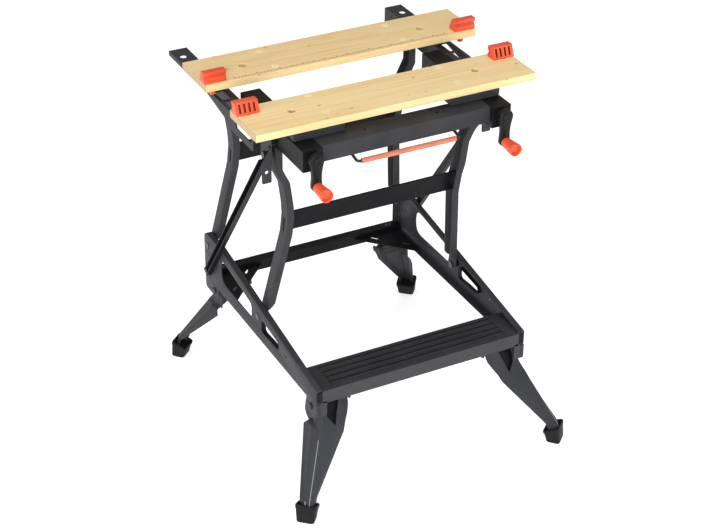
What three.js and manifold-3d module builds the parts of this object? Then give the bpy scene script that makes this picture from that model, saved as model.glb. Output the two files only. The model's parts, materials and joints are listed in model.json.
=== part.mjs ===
// Folding workbench: two clamping jaws on a parallelogram frame, a step in front and four fold-away legs.
// Millimetres. For a person in front, +X is right and +Y is to the rear. +Z is up and the floor is z = 0.
import * as THREE from 'three';
import { mergeVertices } from 'three/addons/utils/BufferGeometryUtils.js';
import { ConvexGeometry } from 'three/addons/geometries/ConvexGeometry.js';
import Module from 'manifold-3d';

const wasm = await Module();
wasm.setup();

// Sheet steel, fits and roundness
const sheet = 2;
const fit = 0.3;
const turnFit = 0.4;
const roundSides = 12;
const endSteps = 6;
const cornerSteps = 4;

// Base frame: side arms, step, rear crossbar
const baseHalfWidth = 241;
const armFlange = 13;
const armLowerFlange = 19;
const armFlangeByLeg = 7;
const legFoldRoom = 62;
const armNose = 275;
const armTail = 16;
const armCover = 30;
const armShoulder = 68;
const armStrap = 21;
const armRearRadius = 18;
const slotLead = 90;
const slotTrail = 28;
const slotFloor = 37;
const windowLead = 29;
const windowTrail = 73;
const windowFloor = 32;
const windowRadius = 26;
const windowFrontRadius = 10;
const slotRadius = 4;
const lugDepth = 28;
const lugReach = 20;
const lugRadius = 9;
const earWidth = 9.5;
const armHoleRadius = 2;
const armHoleLead = 137;
const armHoleRise = 34;
const armRearHoleTrail = 32;
const armRearHoleDrop = 14;
const stepDepth = 88;
const stepTop = 34;
const stepFrontLip = 30;
const stepRearLip = 16;
const stepEndLift = 4;
const stepRibs = 4;
const stepRibHeight = 1.6;
const stepRibWidth = 6;
const stepRibMargin = 34;
const crossbarHeight = 25;
const crossbarDepth = 23;
const crossbarDrop = 6;
const crossbarNotch = 10;
const gussetReach = 113;
const gussetRun = 116;
const gussetSlotLength = 14;
const gussetSlotWidth = 5;
const gussetSlotSetback = 21;
const gussetSlotSpread = 38;

// Legs and feet
const hingeHeight = 205;
const hingeDrop = 13;
const frontHingeSetback = 24;
const rearHingeSetback = 49;
const legPinRadius = 4;
const legPinHeadRadius = 7;
const legInner = 158;
const legBracketInset = 12;
const legBracketLength = 18;
const legGap = 8;
const legTopRise = 9;
const legFloorGap = 8;
const legFootTop = 46;
const legBend = 27;
const legCrossing = 40;
const legKnee = 55;
const legCrease = 5;
const legOpening = 12;
const legFootFront = -102.7;
const legFootLean = 4.7;
const legFootDepth = 26;
const legFootTaper = 7;
const legFootOuter = 302;
const legFootWidth = 21;
const legFootSpread = 10;
const footWall = 4;
const footFlare = 3;
const footHeight = 42;

// Parallelogram links between base and bench top
const pivotRise = 52;
const pivotSpread = 260;
const pivotStep = 32;
const linkRise = 410;
const linkLean = -58;
const linkBend = 290;
const uprightWidth = 15;
const uprightDepth = 28;
const pivotGap = 12.5;
const waistInset = 26.5;
const flareLow = 20;
const waistLow = 213;
const waistHigh = 260;
const shoulderBelowTop = 70;
const shoulderInset = 15.5;
const flareBelowTop = 38;
const panelSetback = 6;
const panelSlotWidth = 7;
const panelSlotLength = 35;
const pivotPinRadius = 5;
const pinHeadRadius = 8;
const pinHeadHeight = 3;
const flushHeadHeight = 0.9;

// Braces between the rear of the base and the front top pivots
const braceWidth = 11;
const braceDepth = 16;
const braceShift = 10;
const braceEye = 8;
const braceEndGap = 6;
const braceGap = 1.5;
const bracePinRise = 22;
const bracePinSetback = 14;
const forkPinRadius = 3.2;
const forkClearance = 0.8;

// Bench top frame
const topPivotDrop = 20;
const channelWidth = 42;
const channelHeight = 44.5;
const channelLead = 136;
const channelLength = 283;
const channelGap = 8;
const channelLugHeight = 30;
const channelLugLift = 5;
const channelLugLength = 34;
const bearingSetback = 17;
const bearingLift = 4;
const railWidth = 40;
const railDepth = 38;
const railGap = 8.5;
const railLead = 16;
const railTail = 143;
const railLip = 10;
const railTaperStart = 154;
const railTaperStep = 142;
const railTaperRise = 13;
const railTaperEnd = 60;
const railSlotHeight = 11;
const railSlotFloor = 16;
const railSlotLead = 5;
const railSlotLength = 64;
const railHangHole = 8;
const railHangInset = 39;
const railHangOffset = 3;
const railWindowWidth = 18;
const railWindowInset = 7;
const railWindowSetback = 8;
const railWindowRearLength = 40;
const railWindowFrontLength = 34;
const railWindowRadius = 3;
const railRadius = 6;
const railTaperBend = 6;
const tabTrail = 32;
const tabDrop = 25;
const tabRadius = 12;
const riserHeight = 27;
const riserWidth = 30;
const riserDepth = 50;
const riserSetback = 56;
const beamSetback = 8;
const beamDepth = 50;
const beamHeight = 34;
const beamRecess = 0.5;
const tieDepth = 20;
const tieHeight = 17;
const tieLead = 38;
const tieDrop = 1;
const latchWidth = 20;
const latchThickness = 2.5;
const latchLead = 18;
const latchBelow = 55;
const latchAbove = 20;
const latchTaper = 30;
const latchRadius = 3;
const latchHole = 4;
const latchHoleRise = 24;

// Jaws, carriers and dogs
const jawLength = 610;
const jawDepth = 120;
const jawThickness = 15;
const jawGap = 114;
const jawLead = 100;
const jawTravel = 92;
const carrierWidth = 109;
const carrierDepth = 92;
const carrierHeight = 19.7;
const carrierSetback = 8;
const carrierWall = 6;
const slideFit = 0.5;
const dogHoleRadius = 7;
const dogHoleOffset = 4;
const dogHoleSetback = 56;
const dogInset = 23;
const dogLength = 48;
const dogDepth = 24;
const dogHeight = 24;
const dogOffset = 6;
const dogFrontSetback = 28;
const dogRearSetback = 24;
const dogPegDrop = 17;
const dogPegSlit = 4;
const dogGrooves = 4;
const dogGrooveDepth = 5;
const dogGrooveWidth = 4;
const dogGroovePitch = 8.5;
const dogEdge = 2.5;
const dogChamfer = 7;
const dogBite = 5;

// Vice screws and cranks
const screwRadius = 6;
const screwDrop = 15.5;
const screwTail = 5;
const screwCollarRadius = 10;
const screwCollarLength = 4;
const nutWidth = 18;
const nutLength = 25;
const nutLead = 27.5;
const postWidth = 10;
const slotMargin = 10;
const slotCornerRadius = 3;
const crankThrow = 54;
const crankThickness = 12;
const crankFace = 2;
const crankHubRadius = 15;
const crankEndRadius = 11;
const crankCollarRadius = 11;
const crankCollarLength = 7.7;
const spindleRadius = 4;
const knobLength = 40;
const knobBaseRadius = 10.5;
const knobTipRadius = 13.5;
const knobRecessRadius = 9.5;
const knobRecessDepth = 5;
const knobEdge = 3;

// Bail handle under the front beam
const bailHalfWidth = 112;
const bailReach = 36;
const bailBend = 7;
const bailDrop = 8.5;
const bailWireRadius = 3;
const bailSleeveRadius = 5.5;
const bailSleeveMargin = 1.5;
const bailHingeInset = 28;
const bailTail = 26;
const bailClipWidth = 8;
const bailClipWall = 4;
const bailClipGap = 1;
const bailSides = 8;
const bailSteps = 36;

// Derived heights
const armBottom = hingeHeight + hingeDrop;
const frontPivot = new THREE.Vector3(0, 8, armBottom + pivotRise);
const rearPivot = frontPivot.clone().add(new THREE.Vector3(0, pivotSpread, pivotStep));
const link = new THREE.Vector3(0, linkLean, linkRise);
const frontTopPivot = frontPivot.clone().add(link);
const rearTopPivot = rearPivot.clone().add(link);
const channelBottom = frontTopPivot.z + topPivotDrop;
const channelTop = channelBottom + channelHeight;
const jawBottom = channelTop + slideFit + carrierHeight + fit;
const jawTop = jawBottom + jawThickness;
const railTop = jawBottom - riserHeight;
const railBottom = railTop - railDepth;
const screwHeight = channelTop - screwDrop;

// Derived places across the bench
const armWebInner = baseHalfWidth - sheet;
const armInner = baseHalfWidth - armFlange;
const uprightX = armWebInner - pivotGap - uprightWidth / 2;
const uprightOuter = uprightX + uprightWidth / 2;
const waistX = uprightX - waistInset;
const railInner = uprightOuter + railGap;
const railOuter = railInner + railWidth;
const channelOuter = railInner - channelGap;
const channelInner = channelOuter - channelWidth;
const screwX = (channelOuter + channelInner) / 2;
const braceInner = baseHalfWidth + braceGap;
const dogX = jawLength / 2 - dogInset;
const spareX = screwX - dogHoleOffset;

// Derived places along the bench
const armFront = frontPivot.y - armNose;
const armRear = rearPivot.y + armTail;
const frontHinge = armFront + frontHingeSetback;
const rearHinge = armRear - rearHingeSetback;
const bracePin = new THREE.Vector3(0, armRear - bracePinSetback, armBottom + bracePinRise);
const frontJawFront = frontTopPivot.y - jawLead;
const frontJawRear = frontJawFront + jawDepth;
const rearJawFront = frontJawRear + jawGap;
const channelFront = frontTopPivot.y - channelLead;
const channelRear = channelFront + channelLength;
const railFront = frontTopPivot.y - railLead;
const railRear = rearTopPivot.y + railTail;
const nutFront = frontTopPivot.y - nutLead - nutLength / 2;
const beamFront = channelFront + beamSetback;
const beamTop = channelTop - beamRecess;
const beamBottom = beamTop - beamHeight;
const crankFront = channelFront - fit - crankCollarLength - crankThickness;
const bailHinge = new THREE.Vector3(0, beamFront + bailHingeInset, beamBottom - bailClipGap - bailWireRadius);

// Finishes
const finishes = {
  paint: { color: 0x2c2d30, roughness: 0.5, metalness: 0.3 },
  tread: { color: 0x37383b, roughness: 0.6, metalness: 0.2 },
  pine: { color: 0xe3c68f, roughness: 0.55, metalness: 0 },
  orange: { color: 0xea4f2b, roughness: 0.45, metalness: 0 },
  sleeve: { color: 0xef7a55, roughness: 0.5, metalness: 0 },
  rubber: { color: 0x1c1c1e, roughness: 0.75, metalness: 0 },
  zinc: { color: 0x4a4c50, roughness: 0.35, metalness: 0.9 },
};

// Closed solid for cutting and joining, from a geometry with one copy of each vertex
function toSolid(geometry) {
  const plain = geometry.clone();
  plain.deleteAttribute('normal');
  plain.deleteAttribute('uv');
  const merged = mergeVertices(plain, 1e-4);
  const index = merged.index.array;
  const triangles = [];
  for (let i = 0; i < index.length; i += 3) {
    const [a, b, c] = [index[i], index[i + 1], index[i + 2]];
    if (a !== b && b !== c && c !== a) triangles.push(a, b, c);
  }
  return new wasm.Manifold(new wasm.Mesh({
    numProp: 3,
    vertProperties: new Float32Array(merged.attributes.position.array),
    triVerts: new Uint32Array(triangles),
  }));
}

// Geometry of a finished solid
function toGeometry(solid) {
  const mesh = solid.getMesh();
  const geometry = new THREE.BufferGeometry();
  geometry.setAttribute('position', new THREE.BufferAttribute(new Float32Array(mesh.vertProperties), 3));
  geometry.setIndex(new THREE.BufferAttribute(new Uint32Array(mesh.triVerts), 1));
  return geometry;
}

// Copy of a geometry mirrored in the bench's middle plane
function mirrored(geometry) {
  const copy = geometry.clone().scale(-1, 1, 1);
  const index = copy.index.array;
  for (let i = 0; i < index.length; i += 3) {
    [index[i], index[i + 1]] = [index[i + 1], index[i]];
  }
  return copy;
}

// Joins and cuts over lists of solids
const joined = (...solids) => solids.reduce((whole, solid) => whole.add(solid));
const cut = (body, ...tools) => tools.reduce((whole, tool) => whole.subtract(tool), body);

// Block between two corners
function block([x0, x1], [y0, y1], [z0, z1]) {
  const geometry = new THREE.BoxGeometry(x1 - x0, y1 - y0, z1 - z0);
  geometry.translate((x0 + x1) / 2, (y0 + y1) / 2, (z0 + z1) / 2);
  return toSolid(geometry);
}

// Outline drawn out along an axis: (y, z) along X, (x, z) along Y, (x, y) along Z
function drawn(axis, shape, from, to) {
  const settings = { depth: to - from, bevelEnabled: false, curveSegments: cornerSteps };
  const geometry = new THREE.ExtrudeGeometry(shape, settings);
  geometry.translate(0, 0, axis === 'y' ? -to : from);
  const [ex, ey, ez] = [[1, 0, 0], [0, 1, 0], [0, 0, 1]].map((e) => new THREE.Vector3(...e));
  const turn = new THREE.Matrix4();
  if (axis === 'x') turn.makeBasis(ey, ez, ex);
  if (axis === 'y') turn.makeBasis(ex, ez, ey.negate());
  return toSolid(geometry.applyMatrix4(turn));
}

// Points of an arc
function arc(a, b, radius, start, end, steps) {
  const points = [];
  for (let i = 0; i <= steps; i += 1) {
    const angle = start + ((end - start) * i) / steps;
    points.push(new THREE.Vector2(a + radius * Math.cos(angle), b + radius * Math.sin(angle)));
  }
  return points;
}

// Round outline
const disc = (a, b, radius) => new THREE.Shape(arc(a, b, radius, 0, 2 * Math.PI, roundSides).slice(0, -1));

// Radius of a faceted hole that a turning pin of the given radius clears
const boreFor = (radius) => (radius + turnFit) / Math.cos(Math.PI / roundSides);

// Round bar along an axis
const bar = (axis, [a, b], radius, from, to) => drawn(axis, disc(a, b, radius), from, to);

// Stepped pin along X from a list of [radius, from, to]
const pin = (axis, steps) => joined(...steps.map(([radius, from, to]) => bar('x', axis, radius, from, to)));

// Outline with corners [a, b, cut-back], each rounded over its cut-back
function outline(corners) {
  const points = corners.map(([a, b]) => new THREE.Vector2(a, b));
  const shape = new THREE.Shape();
  corners.forEach(([, , back = 0], i) => {
    const here = points[i];
    const towards = (other) => here.clone().add(other.clone().sub(here).setLength(back));
    const enter = towards(points[(i + points.length - 1) % points.length]);
    const leave = towards(points[(i + 1) % points.length]);
    if (i === 0) shape.moveTo(enter.x, enter.y);
    else shape.lineTo(enter.x, enter.y);
    if (back) shape.quadraticCurveTo(here.x, here.y, leave.x, leave.y);
  });
  return shape;
}

// Rectangle outline with rounded corners
const rectangle = ([a0, a1], [b0, b1], back = 0) =>
  outline([[a0, b0, back], [a1, b0, back], [a1, b1, back], [a0, b1, back]]);

// Strip of even width along a bent line, with mitred bends and square or round ends
function strip(line, half, round = false) {
  const points = line.map(([a, b]) => new THREE.Vector2(a, b));
  const heading = (i) => points[i + 1].clone().sub(points[i]).normalize();
  const last = points.length - 1;
  const sides = points.map((point, i) => {
    const before = heading(Math.max(i - 1, 0));
    const after = heading(Math.min(i, last - 1));
    const along = before.clone().add(after).normalize();
    const width = half / along.dot(after);
    const across = new THREE.Vector2(-along.y, along.x).multiplyScalar(width);
    return [point.clone().add(across), point.clone().sub(across)];
  });
  const left = sides.map(([point]) => point);
  const right = sides.map(([, point]) => point);
  const cap = ({ x, y }, start) => {
    const points = round ? arc(x, y, half, start, start + Math.PI, endSteps) : [];
    return points.slice(1, -1);
  };
  const endCap = cap(points[last], heading(last - 1).angle() - Math.PI / 2);
  const startCap = cap(points[0], heading(0).angle() + Math.PI / 2);
  return new THREE.Shape([...right, ...endCap, ...left.reverse(), ...startCap]);
}

// Solid spanning two or more rings of points
const spanned = (points) => toSolid(new ConvexGeometry(points.map((point) => new THREE.Vector3(...point))));

// Base frame pieces

// Height of an arm's sloping top edge
const armSlope = pivotStep / (pivotSpread - armShoulder);
const armTopAt = (y) => frontPivot.z + armCover + armSlope * (y - frontPivot.y);

function armSolid() {
  const rearTop = rearPivot.z + armCover;
  const edge = (inset) => outline([
    [armFront + inset, armBottom + inset],
    [armRear - inset, armBottom + inset],
    [armRear - inset, rearTop - inset, armRearRadius],
    [rearPivot.y - armShoulder, rearTop - inset],
    [armFront + inset, armTopAt(armFront) - inset],
  ]);
  const strapAt = (y) => armTopAt(y) - armStrap;
  const opening = (start, end, floor, startBack, endBack) => outline([
    [start, floor, startBack], [end, floor, endBack],
    [end, strapAt(end), endBack], [start, strapAt(start), startBack],
  ]);
  const slotSpan = [frontPivot.y - slotLead, frontPivot.y - slotTrail];
  const slot = opening(...slotSpan, armBottom + slotFloor, slotRadius, slotRadius);
  const windowSpan = [frontPivot.y + windowLead, rearPivot.y - windowTrail];
  const window = opening(...windowSpan, armBottom + windowFloor, windowFrontRadius, windowRadius);
  const lugBottom = armBottom - lugDepth;
  const lug = (from, to) => drawn('x', outline([
    [from, lugBottom, lugRadius], [to, lugBottom, lugRadius],
    [to, armBottom + sheet], [from, armBottom + sheet],
  ]), armWebInner, baseHalfWidth);
  const earTop = armBottom + stepTop - stepFrontLip - fit;
  const earInner = baseHalfWidth - earWidth;
  const ear = block([earInner, baseHalfWidth], [armFront - sheet, armFront], [lugBottom, earTop]);
  const holeAt = ({ y, z }, radius) => bar('x', [y, z], boreFor(radius), armWebInner - 1, baseHalfWidth + 1);
  const middle = [frontHinge + legFoldRoom, rearHinge - legFoldRoom];
  const besideLeg = (from, to) => block(
    [armInner - 1, baseHalfWidth - armFlangeByLeg], [from, to], [armBottom - 1, armBottom + sheet],
  );
  return cut(
    joined(
      cut(drawn('x', edge(0), armInner, baseHalfWidth), drawn('x', edge(sheet), armInner - 1, armWebInner)),
      block([baseHalfWidth - armLowerFlange, armInner + 1], middle, [armBottom, armBottom + sheet]),
      lug(armFront - sheet, frontHinge + lugReach),
      lug(rearHinge - lugReach, armRear),
      ear,
    ),
    besideLeg(armFront + sheet, middle[0]),
    besideLeg(middle[1], armRear - sheet),
    drawn('x', slot, armWebInner - 1, baseHalfWidth + 1),
    drawn('x', window, armWebInner - 1, baseHalfWidth + 1),
    holeAt(frontPivot, pivotPinRadius),
    holeAt(rearPivot, pivotPinRadius),
    holeAt(bracePin, pivotPinRadius),
    holeAt({ y: frontPivot.y - armHoleLead, z: armBottom + armHoleRise }, armHoleRadius),
    holeAt({ y: rearPivot.y - armRearHoleTrail, z: rearPivot.z - armRearHoleDrop }, armHoleRadius),
    holeAt({ y: frontHinge, z: hingeHeight }, legPinRadius),
    holeAt({ y: rearHinge, z: hingeHeight }, legPinRadius),
  );
}

// Hanging plate inside a leg that carries its pin, on both sides
function legBrackets(y, top) {
  const span = [y - legBracketLength / 2, y + legBracketLength / 2];
  const bottom = hingeHeight - legBracketLength / 2;
  const plate = (x) => cut(
    block([x, x + sheet], span, [bottom, top]),
    bar('x', [y, hingeHeight], boreFor(legPinRadius), x - 1, x + sheet + 1),
  );
  return joined(plate(legInner + legBracketInset), plate(-legInner - legBracketInset - sheet));
}

function stepSolid() {
  const top = armBottom + stepTop;
  const front = armFront - sheet;
  const rear = front + stepDepth;
  const half = armInner - fit;
  const tabs = [armFront + sheet + fit, rear - sheet];
  const plate = block([-half, half], [front, rear], [top - sheet, top]);
  const tongue = block([fit - armWebInner, armWebInner - fit], tabs, [top - sheet, top]);
  const endPlate = (x) => block([x, x + sheet], tabs, [armBottom + sheet + stepEndLift, top]);
  const frontLip = block([-half, half], [front, front + sheet], [top - stepFrontLip, top]);
  const rearLip = block([-half, half], [rear - sheet, rear], [top - stepRearLip, top]);
  const ribs = [];
  for (let i = 0; i < stepRibs; i += 1) {
    const y = front + (stepDepth * (i + 1)) / (stepRibs + 1);
    const long = half - stepRibMargin;
    const rib = strip([[-long, y], [long, y]], stepRibWidth / 2, true);
    ribs.push(drawn('z', rib, top - sheet, top + stepRibHeight));
  }
  return joined(
    plate, tongue, frontLip, rearLip,
    endPlate(armWebInner - fit - sheet), endPlate(fit - armWebInner),
    legBrackets(frontHinge, top - 1), ...ribs,
  );
}

function crossbarSolid() {
  const bottom = armBottom - crossbarDrop;
  const top = bottom + crossbarHeight;
  const rear = armRear - sheet - fit;
  const front = rear - crossbarDepth;
  const half = armInner - fit;
  const notchX = legInner - legGap;
  const shelf = armBottom + crossbarNotch;
  const gusset = outline([[half - gussetReach, front + 1], [half, front + 1], [half, front - gussetRun]]);
  const plates = joined(
    block([-half, half], [front, rear], [top - sheet, top]),
    block([-half, half], [front, front + sheet], [shelf - sheet, top]),
    block([-notchX, notchX], [front, front + sheet], [bottom, top]),
    block([-half, half], [rear - sheet, rear], [shelf - sheet, top]),
    block([-notchX, notchX], [rear - sheet, rear], [bottom, top]),
  );
  const slope = new THREE.Vector2(gussetReach, -gussetRun).normalize();
  const slotMiddle = new THREE.Vector2(half - gussetReach / 2, front - gussetRun / 2)
    .addScaledVector(new THREE.Vector2(-slope.y, slope.x), gussetSlotSetback);
  const slot = (along) => {
    const ends = [along - gussetSlotLength / 2, along + gussetSlotLength / 2];
    const line = ends.map((reach) => slotMiddle.clone().addScaledVector(slope, reach).toArray());
    return drawn('z', strip(line, gussetSlotWidth / 2, true), shelf - sheet - 1, shelf + 1);
  };
  const wing = cut(drawn('z', gusset, shelf - sheet, shelf), slot(-gussetSlotSpread), slot(gussetSlotSpread));
  const tongueTop = bracePin.z - pinHeadRadius - fit;
  const tongueBottom = armBottom + sheet + fit;
  const tongue = block([half - 1, armWebInner - fit], [front + sheet, rear], [tongueBottom, tongueTop]);
  const right = joined(wing, tongue);
  return joined(
    plates, right, toSolid(mirrored(toGeometry(right))),
    legBrackets(rearHinge, shelf),
  );
}

// Legs

// Corners of a leg's folded section at one height: outer rear, outer front, inner front, inner rear
const legRing = (z, [outer, web, inner], [front, outerRear, innerRear], grow = 0) => [
  [outer + grow, outerRear, z], [outer + grow, front - grow, z],
  [web - grow, front - grow, z], [inner - grow, innerRear, z],
];

// Sections of the right front leg from the hinge down: height, x of outer side, web edge and inner side,
// and y from the hinge of the web, the outer side's rear edge and the inner side's rear edge
const legOuter = armInner - fit;
const legFootInner = legFootOuter - legFootWidth;
const footXs = (spread) => [legFootOuter, legFootInner - spread + legCrease, legFootInner - spread];
const footYs = (front) => [front, front + legFootDepth, front + legFootDepth - legFootTaper];
const legSections = [
  [hingeHeight + legTopRise, [legOuter, legInner + legCrease, legInner], [-14, 18, 14]],
  [hingeHeight - legBend, [legOuter + 3, legInner + 17, legInner + 11], [-31, 12, -4]],
  [hingeHeight - legCrossing, [legOuter + 15, legInner + 23, legInner + 17], [-38, 12, -13]],
  [hingeHeight - legKnee, [legOuter + 24, legInner + 31, legInner + 25], [-45, 20, -24]],
  [legFootTop, footXs(legFootSpread), footYs(legFootFront + legFootLean)],
  [legFloorGap, footXs(0), footYs(legFootFront)],
];

function legSolid() {
  const last = legSections.length - 1;
  const outside = [];
  const inside = [];
  for (let i = 0; i < last; i += 1) {
    const pair = [legSections[i], legSections[i + 1]];
    outside.push(spanned(pair.flatMap(([z, xs, ys]) => legRing(z, xs, ys))));
    inside.push(spanned(pair.flatMap(([z, xs, [front, outerRear, innerRear]], j) => {
      const reach = (i + j === 0 ? 1 : 0) - (i + j === last ? 1 : 0);
      return legRing(z + reach, xs, [front, outerRear + legOpening, innerRear + legOpening], -sheet);
    })));
  }
  const bore = bar('x', [0, hingeHeight], boreFor(legPinRadius), legInner - 1, legOuter + legCrease);
  return cut(joined(...outside), joined(...inside), bore);
}

function footSolid() {
  const [, , [front, rear]] = legSections[legSections.length - 1];
  const [, , [mouthFront, mouthRear]] = legSections[legSections.length - 2];
  const wall = fit + footWall;
  const inner = legFootInner - wall;
  const outer = legFootOuter + wall;
  const ring = (z, flare, spread) => [
    [inner - flare - spread, front - wall - flare, z], [outer + flare, front - wall - flare, z],
    [outer + flare, rear + wall + flare, z], [inner - flare - spread, rear + wall + flare, z],
  ];
  const body = spanned([
    ...ring(0, 0, 0),
    ...ring(footHeight / 3, footFlare, legFootSpread / 3),
    ...ring(footHeight, 0, legFootSpread),
  ]);
  const pocketXs = (spread) => [legFootOuter, legFootInner - spread, legFootInner - spread];
  const pocket = spanned([
    ...legRing(legFloorGap - fit, pocketXs(0), [front, rear + fit, rear + fit], fit),
    ...legRing(footHeight + 1, pocketXs(legFootSpread), [front, rear + fit, rear + fit], fit),
    ...legRing(legFootTop + 1, pocketXs(legFootSpread), [mouthFront, mouthRear + fit, mouthRear + fit], fit),
  ]);
  return cut(body, pocket);
}

// Links

// Side view and front view centre lines of an upright, measured from its lower pivot
const uprightSide = [[0, 0], [linkLean, linkBend], [linkLean, linkRise]];
const uprightFace = [
  [uprightX, -uprightDepth], [uprightX, flareLow], [waistX, waistLow],
  [waistX, waistHigh], [uprightX - shoulderInset, linkRise - shoulderBelowTop],
  [uprightX, linkRise - flareBelowTop], [uprightX, linkRise + uprightDepth],
];
const leanAt = (z) => (linkLean * z) / linkBend;

function uprightSolid() {
  const reach = [waistX - uprightWidth * 2, uprightOuter + 1];
  const depth = [linkLean - uprightDepth, uprightDepth];
  const bent = (half, inset) => drawn('x', strip(uprightSide, half, true), ...reach).intersect(
    drawn('y', strip(uprightFace.map(([x, z]) => [x - inset, z]), uprightWidth / 2), ...depth),
  );
  const slotMid = (waistLow + waistHigh) / 2;
  const slotHalf = (panelSlotLength - panelSlotWidth) / 2;
  const slotLine = [slotMid - slotHalf, slotMid + slotHalf].map((z) => [leanAt(z), z]);
  const web = [waistX, uprightOuter + 1];
  const hole = (y, z) => bar('x', [y, z], boreFor(pivotPinRadius), ...web);
  return cut(
    bent(uprightDepth / 2, 0),
    bent(uprightDepth / 2 - sheet, sheet),
    hole(0, 0),
    hole(linkLean, linkRise),
    drawn('x', strip(slotLine, panelSlotWidth / 2, true), ...web),
  );
}

function panelSolid() {
  const low = waistLow + 1;
  const high = waistHigh - 1;
  const half = waistX + uprightWidth / 2 - sheet - fit;
  const web = panelSetback + sheet / 2;
  const lip = uprightDepth / 2 - sheet - fit - sheet / 2;
  const line = [[lip, high], [web, high], [web, low], [lip, low]].map(([back, z]) => [leanAt(z) + back, z]);
  return drawn('x', strip(line, sheet / 2), -half, half);
}

// Riveted pivot that holds an upright to a plate between two x places
function pivotPin(plate, outside) {
  const webInner = uprightOuter - sheet;
  return [
    [pinHeadRadius, webInner - fit - pinHeadHeight, webInner - fit],
    [pivotPinRadius, webInner - fit, plate + sheet + fit],
    [pinHeadRadius, uprightOuter + fit, plate - fit],
    ...outside,
  ];
}

// Braces

function braceSolid(length) {
  const outer = braceInner + braceWidth;
  const web = braceInner + sheet;
  const ends = [braceEye + braceEndGap, length - braceEye - braceEndGap];
  const front = -braceShift - braceDepth / 2;
  const rear = braceDepth / 2 - braceShift;
  const plate = block([braceInner, web], [front, rear], [0, length]);
  const eye = (z) => bar('x', [0, z], braceEye, braceInner, web);
  const channel = cut(
    block([braceInner, outer], [front, rear], ends),
    block([web, outer + 1], [front + sheet, rear - sheet], [0, length]),
  );
  const fork = strip([[0, length], [0, length + braceEye * 2]], forkPinRadius + forkClearance, true);
  return cut(
    joined(plate, eye(0), eye(length), channel),
    bar('x', [0, 0], boreFor(pivotPinRadius), braceInner - 1, web + 1),
    drawn('x', fork, braceInner - 1, web + 1),
  );
}

// Bench top frame

function railSolid() {
  const length = [railFront, railRear];
  const innerWall = block([railInner, railInner + sheet], length, [railBottom, railTop]);
  const topPlate = block([railInner, railOuter], length, [railTop - sheet, railTop]);
  const lipBottom = railTop - railLip;
  const outerWall = drawn('x', outline([
    [railFront, railTop], [railFront, railBottom, railRadius],
    [rearTopPivot.y - railTaperStart, railBottom, railTaperBend],
    [rearTopPivot.y - railTaperStep, railBottom + railTaperRise, railTaperBend],
    [rearTopPivot.y - railTaperEnd, lipBottom, railTaperBend], [railRear, lipBottom], [railRear, railTop],
  ]), railOuter - sheet, railOuter);
  const slotEnd = railSlotHeight / 2;
  const slotStart = railFront + railSlotLead + slotEnd;
  const slotZ = railBottom + railSlotFloor + slotEnd;
  const slot = strip([[slotStart, slotZ], [slotStart + railSlotLength, slotZ]], slotEnd, true);
  const tabBottom = frontTopPivot.z - tabDrop;
  const tabRear = frontTopPivot.y + tabTrail;
  const tab = drawn('x', outline([
    [railFront, railBottom + 1], [railFront, tabBottom, tabRadius],
    [tabRear, tabBottom, tabRadius], [tabRear, railBottom + 1],
  ]), railInner, railInner + sheet);
  const riserFront = rearJawFront + riserSetback;
  const riserMid = (railInner + railOuter) / 2;
  const riser = block(
    [riserMid - riserWidth / 2, riserMid + riserWidth / 2],
    [riserFront, riserFront + riserDepth],
    [railTop - 1, jawBottom - fit],
  );
  const through = [railTop - sheet - 1, railTop + 1];
  const windowX = [railOuter - railWindowInset - railWindowWidth, railOuter - railWindowInset];
  const windowRear = riserFront - railWindowSetback;
  const rearWindow = [windowRear - railWindowRearLength, windowRear];
  const windowSplit = rearWindow[0] - railWindowSetback;
  const frontWindow = [windowSplit - railWindowFrontLength, windowSplit];
  const wall = [railInner - 1, railInner + sheet + 1];
  const wallHole = ({ y, z }) => bar('x', [y, z], boreFor(pivotPinRadius), ...wall);
  return cut(
    joined(innerWall, topPlate, outerWall, tab, riser),
    drawn('x', slot, railOuter - sheet - 1, railOuter + 1),
    bar('z', [riserMid + railHangOffset, railRear - railHangInset], railHangHole, ...through),
    drawn('z', rectangle(windowX, rearWindow, railWindowRadius), ...through),
    drawn('z', rectangle(windowX, frontWindow, railWindowRadius), ...through),
    wallHole(frontTopPivot),
    wallHole(rearTopPivot),
  );
}

function channelSolid() {
  const inside = [channelInner + sheet, channelOuter - sheet];
  const shell = cut(
    block([channelInner, channelOuter], [channelFront, channelRear], [channelBottom, channelTop]),
    block(inside, [channelFront + sheet, channelRear + 1], [channelBottom - 1, channelTop - sheet]),
  );
  const bearingRear = channelRear - bearingSetback;
  const bearingSpan = [bearingRear - sheet, bearingRear];
  const bearingRise = [channelBottom + bearingLift, channelTop - 1];
  const bearing = block([channelInner + 1, channelOuter - 1], bearingSpan, bearingRise);
  const lugFront = railFront + sheet;
  const lugBottom = channelBottom + channelLugLift;
  const lug = block(
    [channelOuter - 1, railInner - fit],
    [lugFront, lugFront + channelLugLength],
    [lugBottom, lugBottom + channelLugHeight],
  );
  const slotHalf = postWidth / 2 + slideFit;
  const slotSpan = [nutFront - slotMargin, nutFront + nutLength + jawTravel + slotMargin];
  const slot = rectangle([screwX - slotHalf, screwX + slotHalf], slotSpan, slotCornerRadius);
  const screwHole = (from, to) => bar('y', [screwX, screwHeight], boreFor(screwRadius), from - 1, to + 1);
  return cut(
    joined(shell, bearing, lug),
    drawn('z', slot, channelTop - sheet - 1, channelTop + 1),
    screwHole(channelFront, channelFront + sheet),
    screwHole(...bearingSpan),
  );
}

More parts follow.
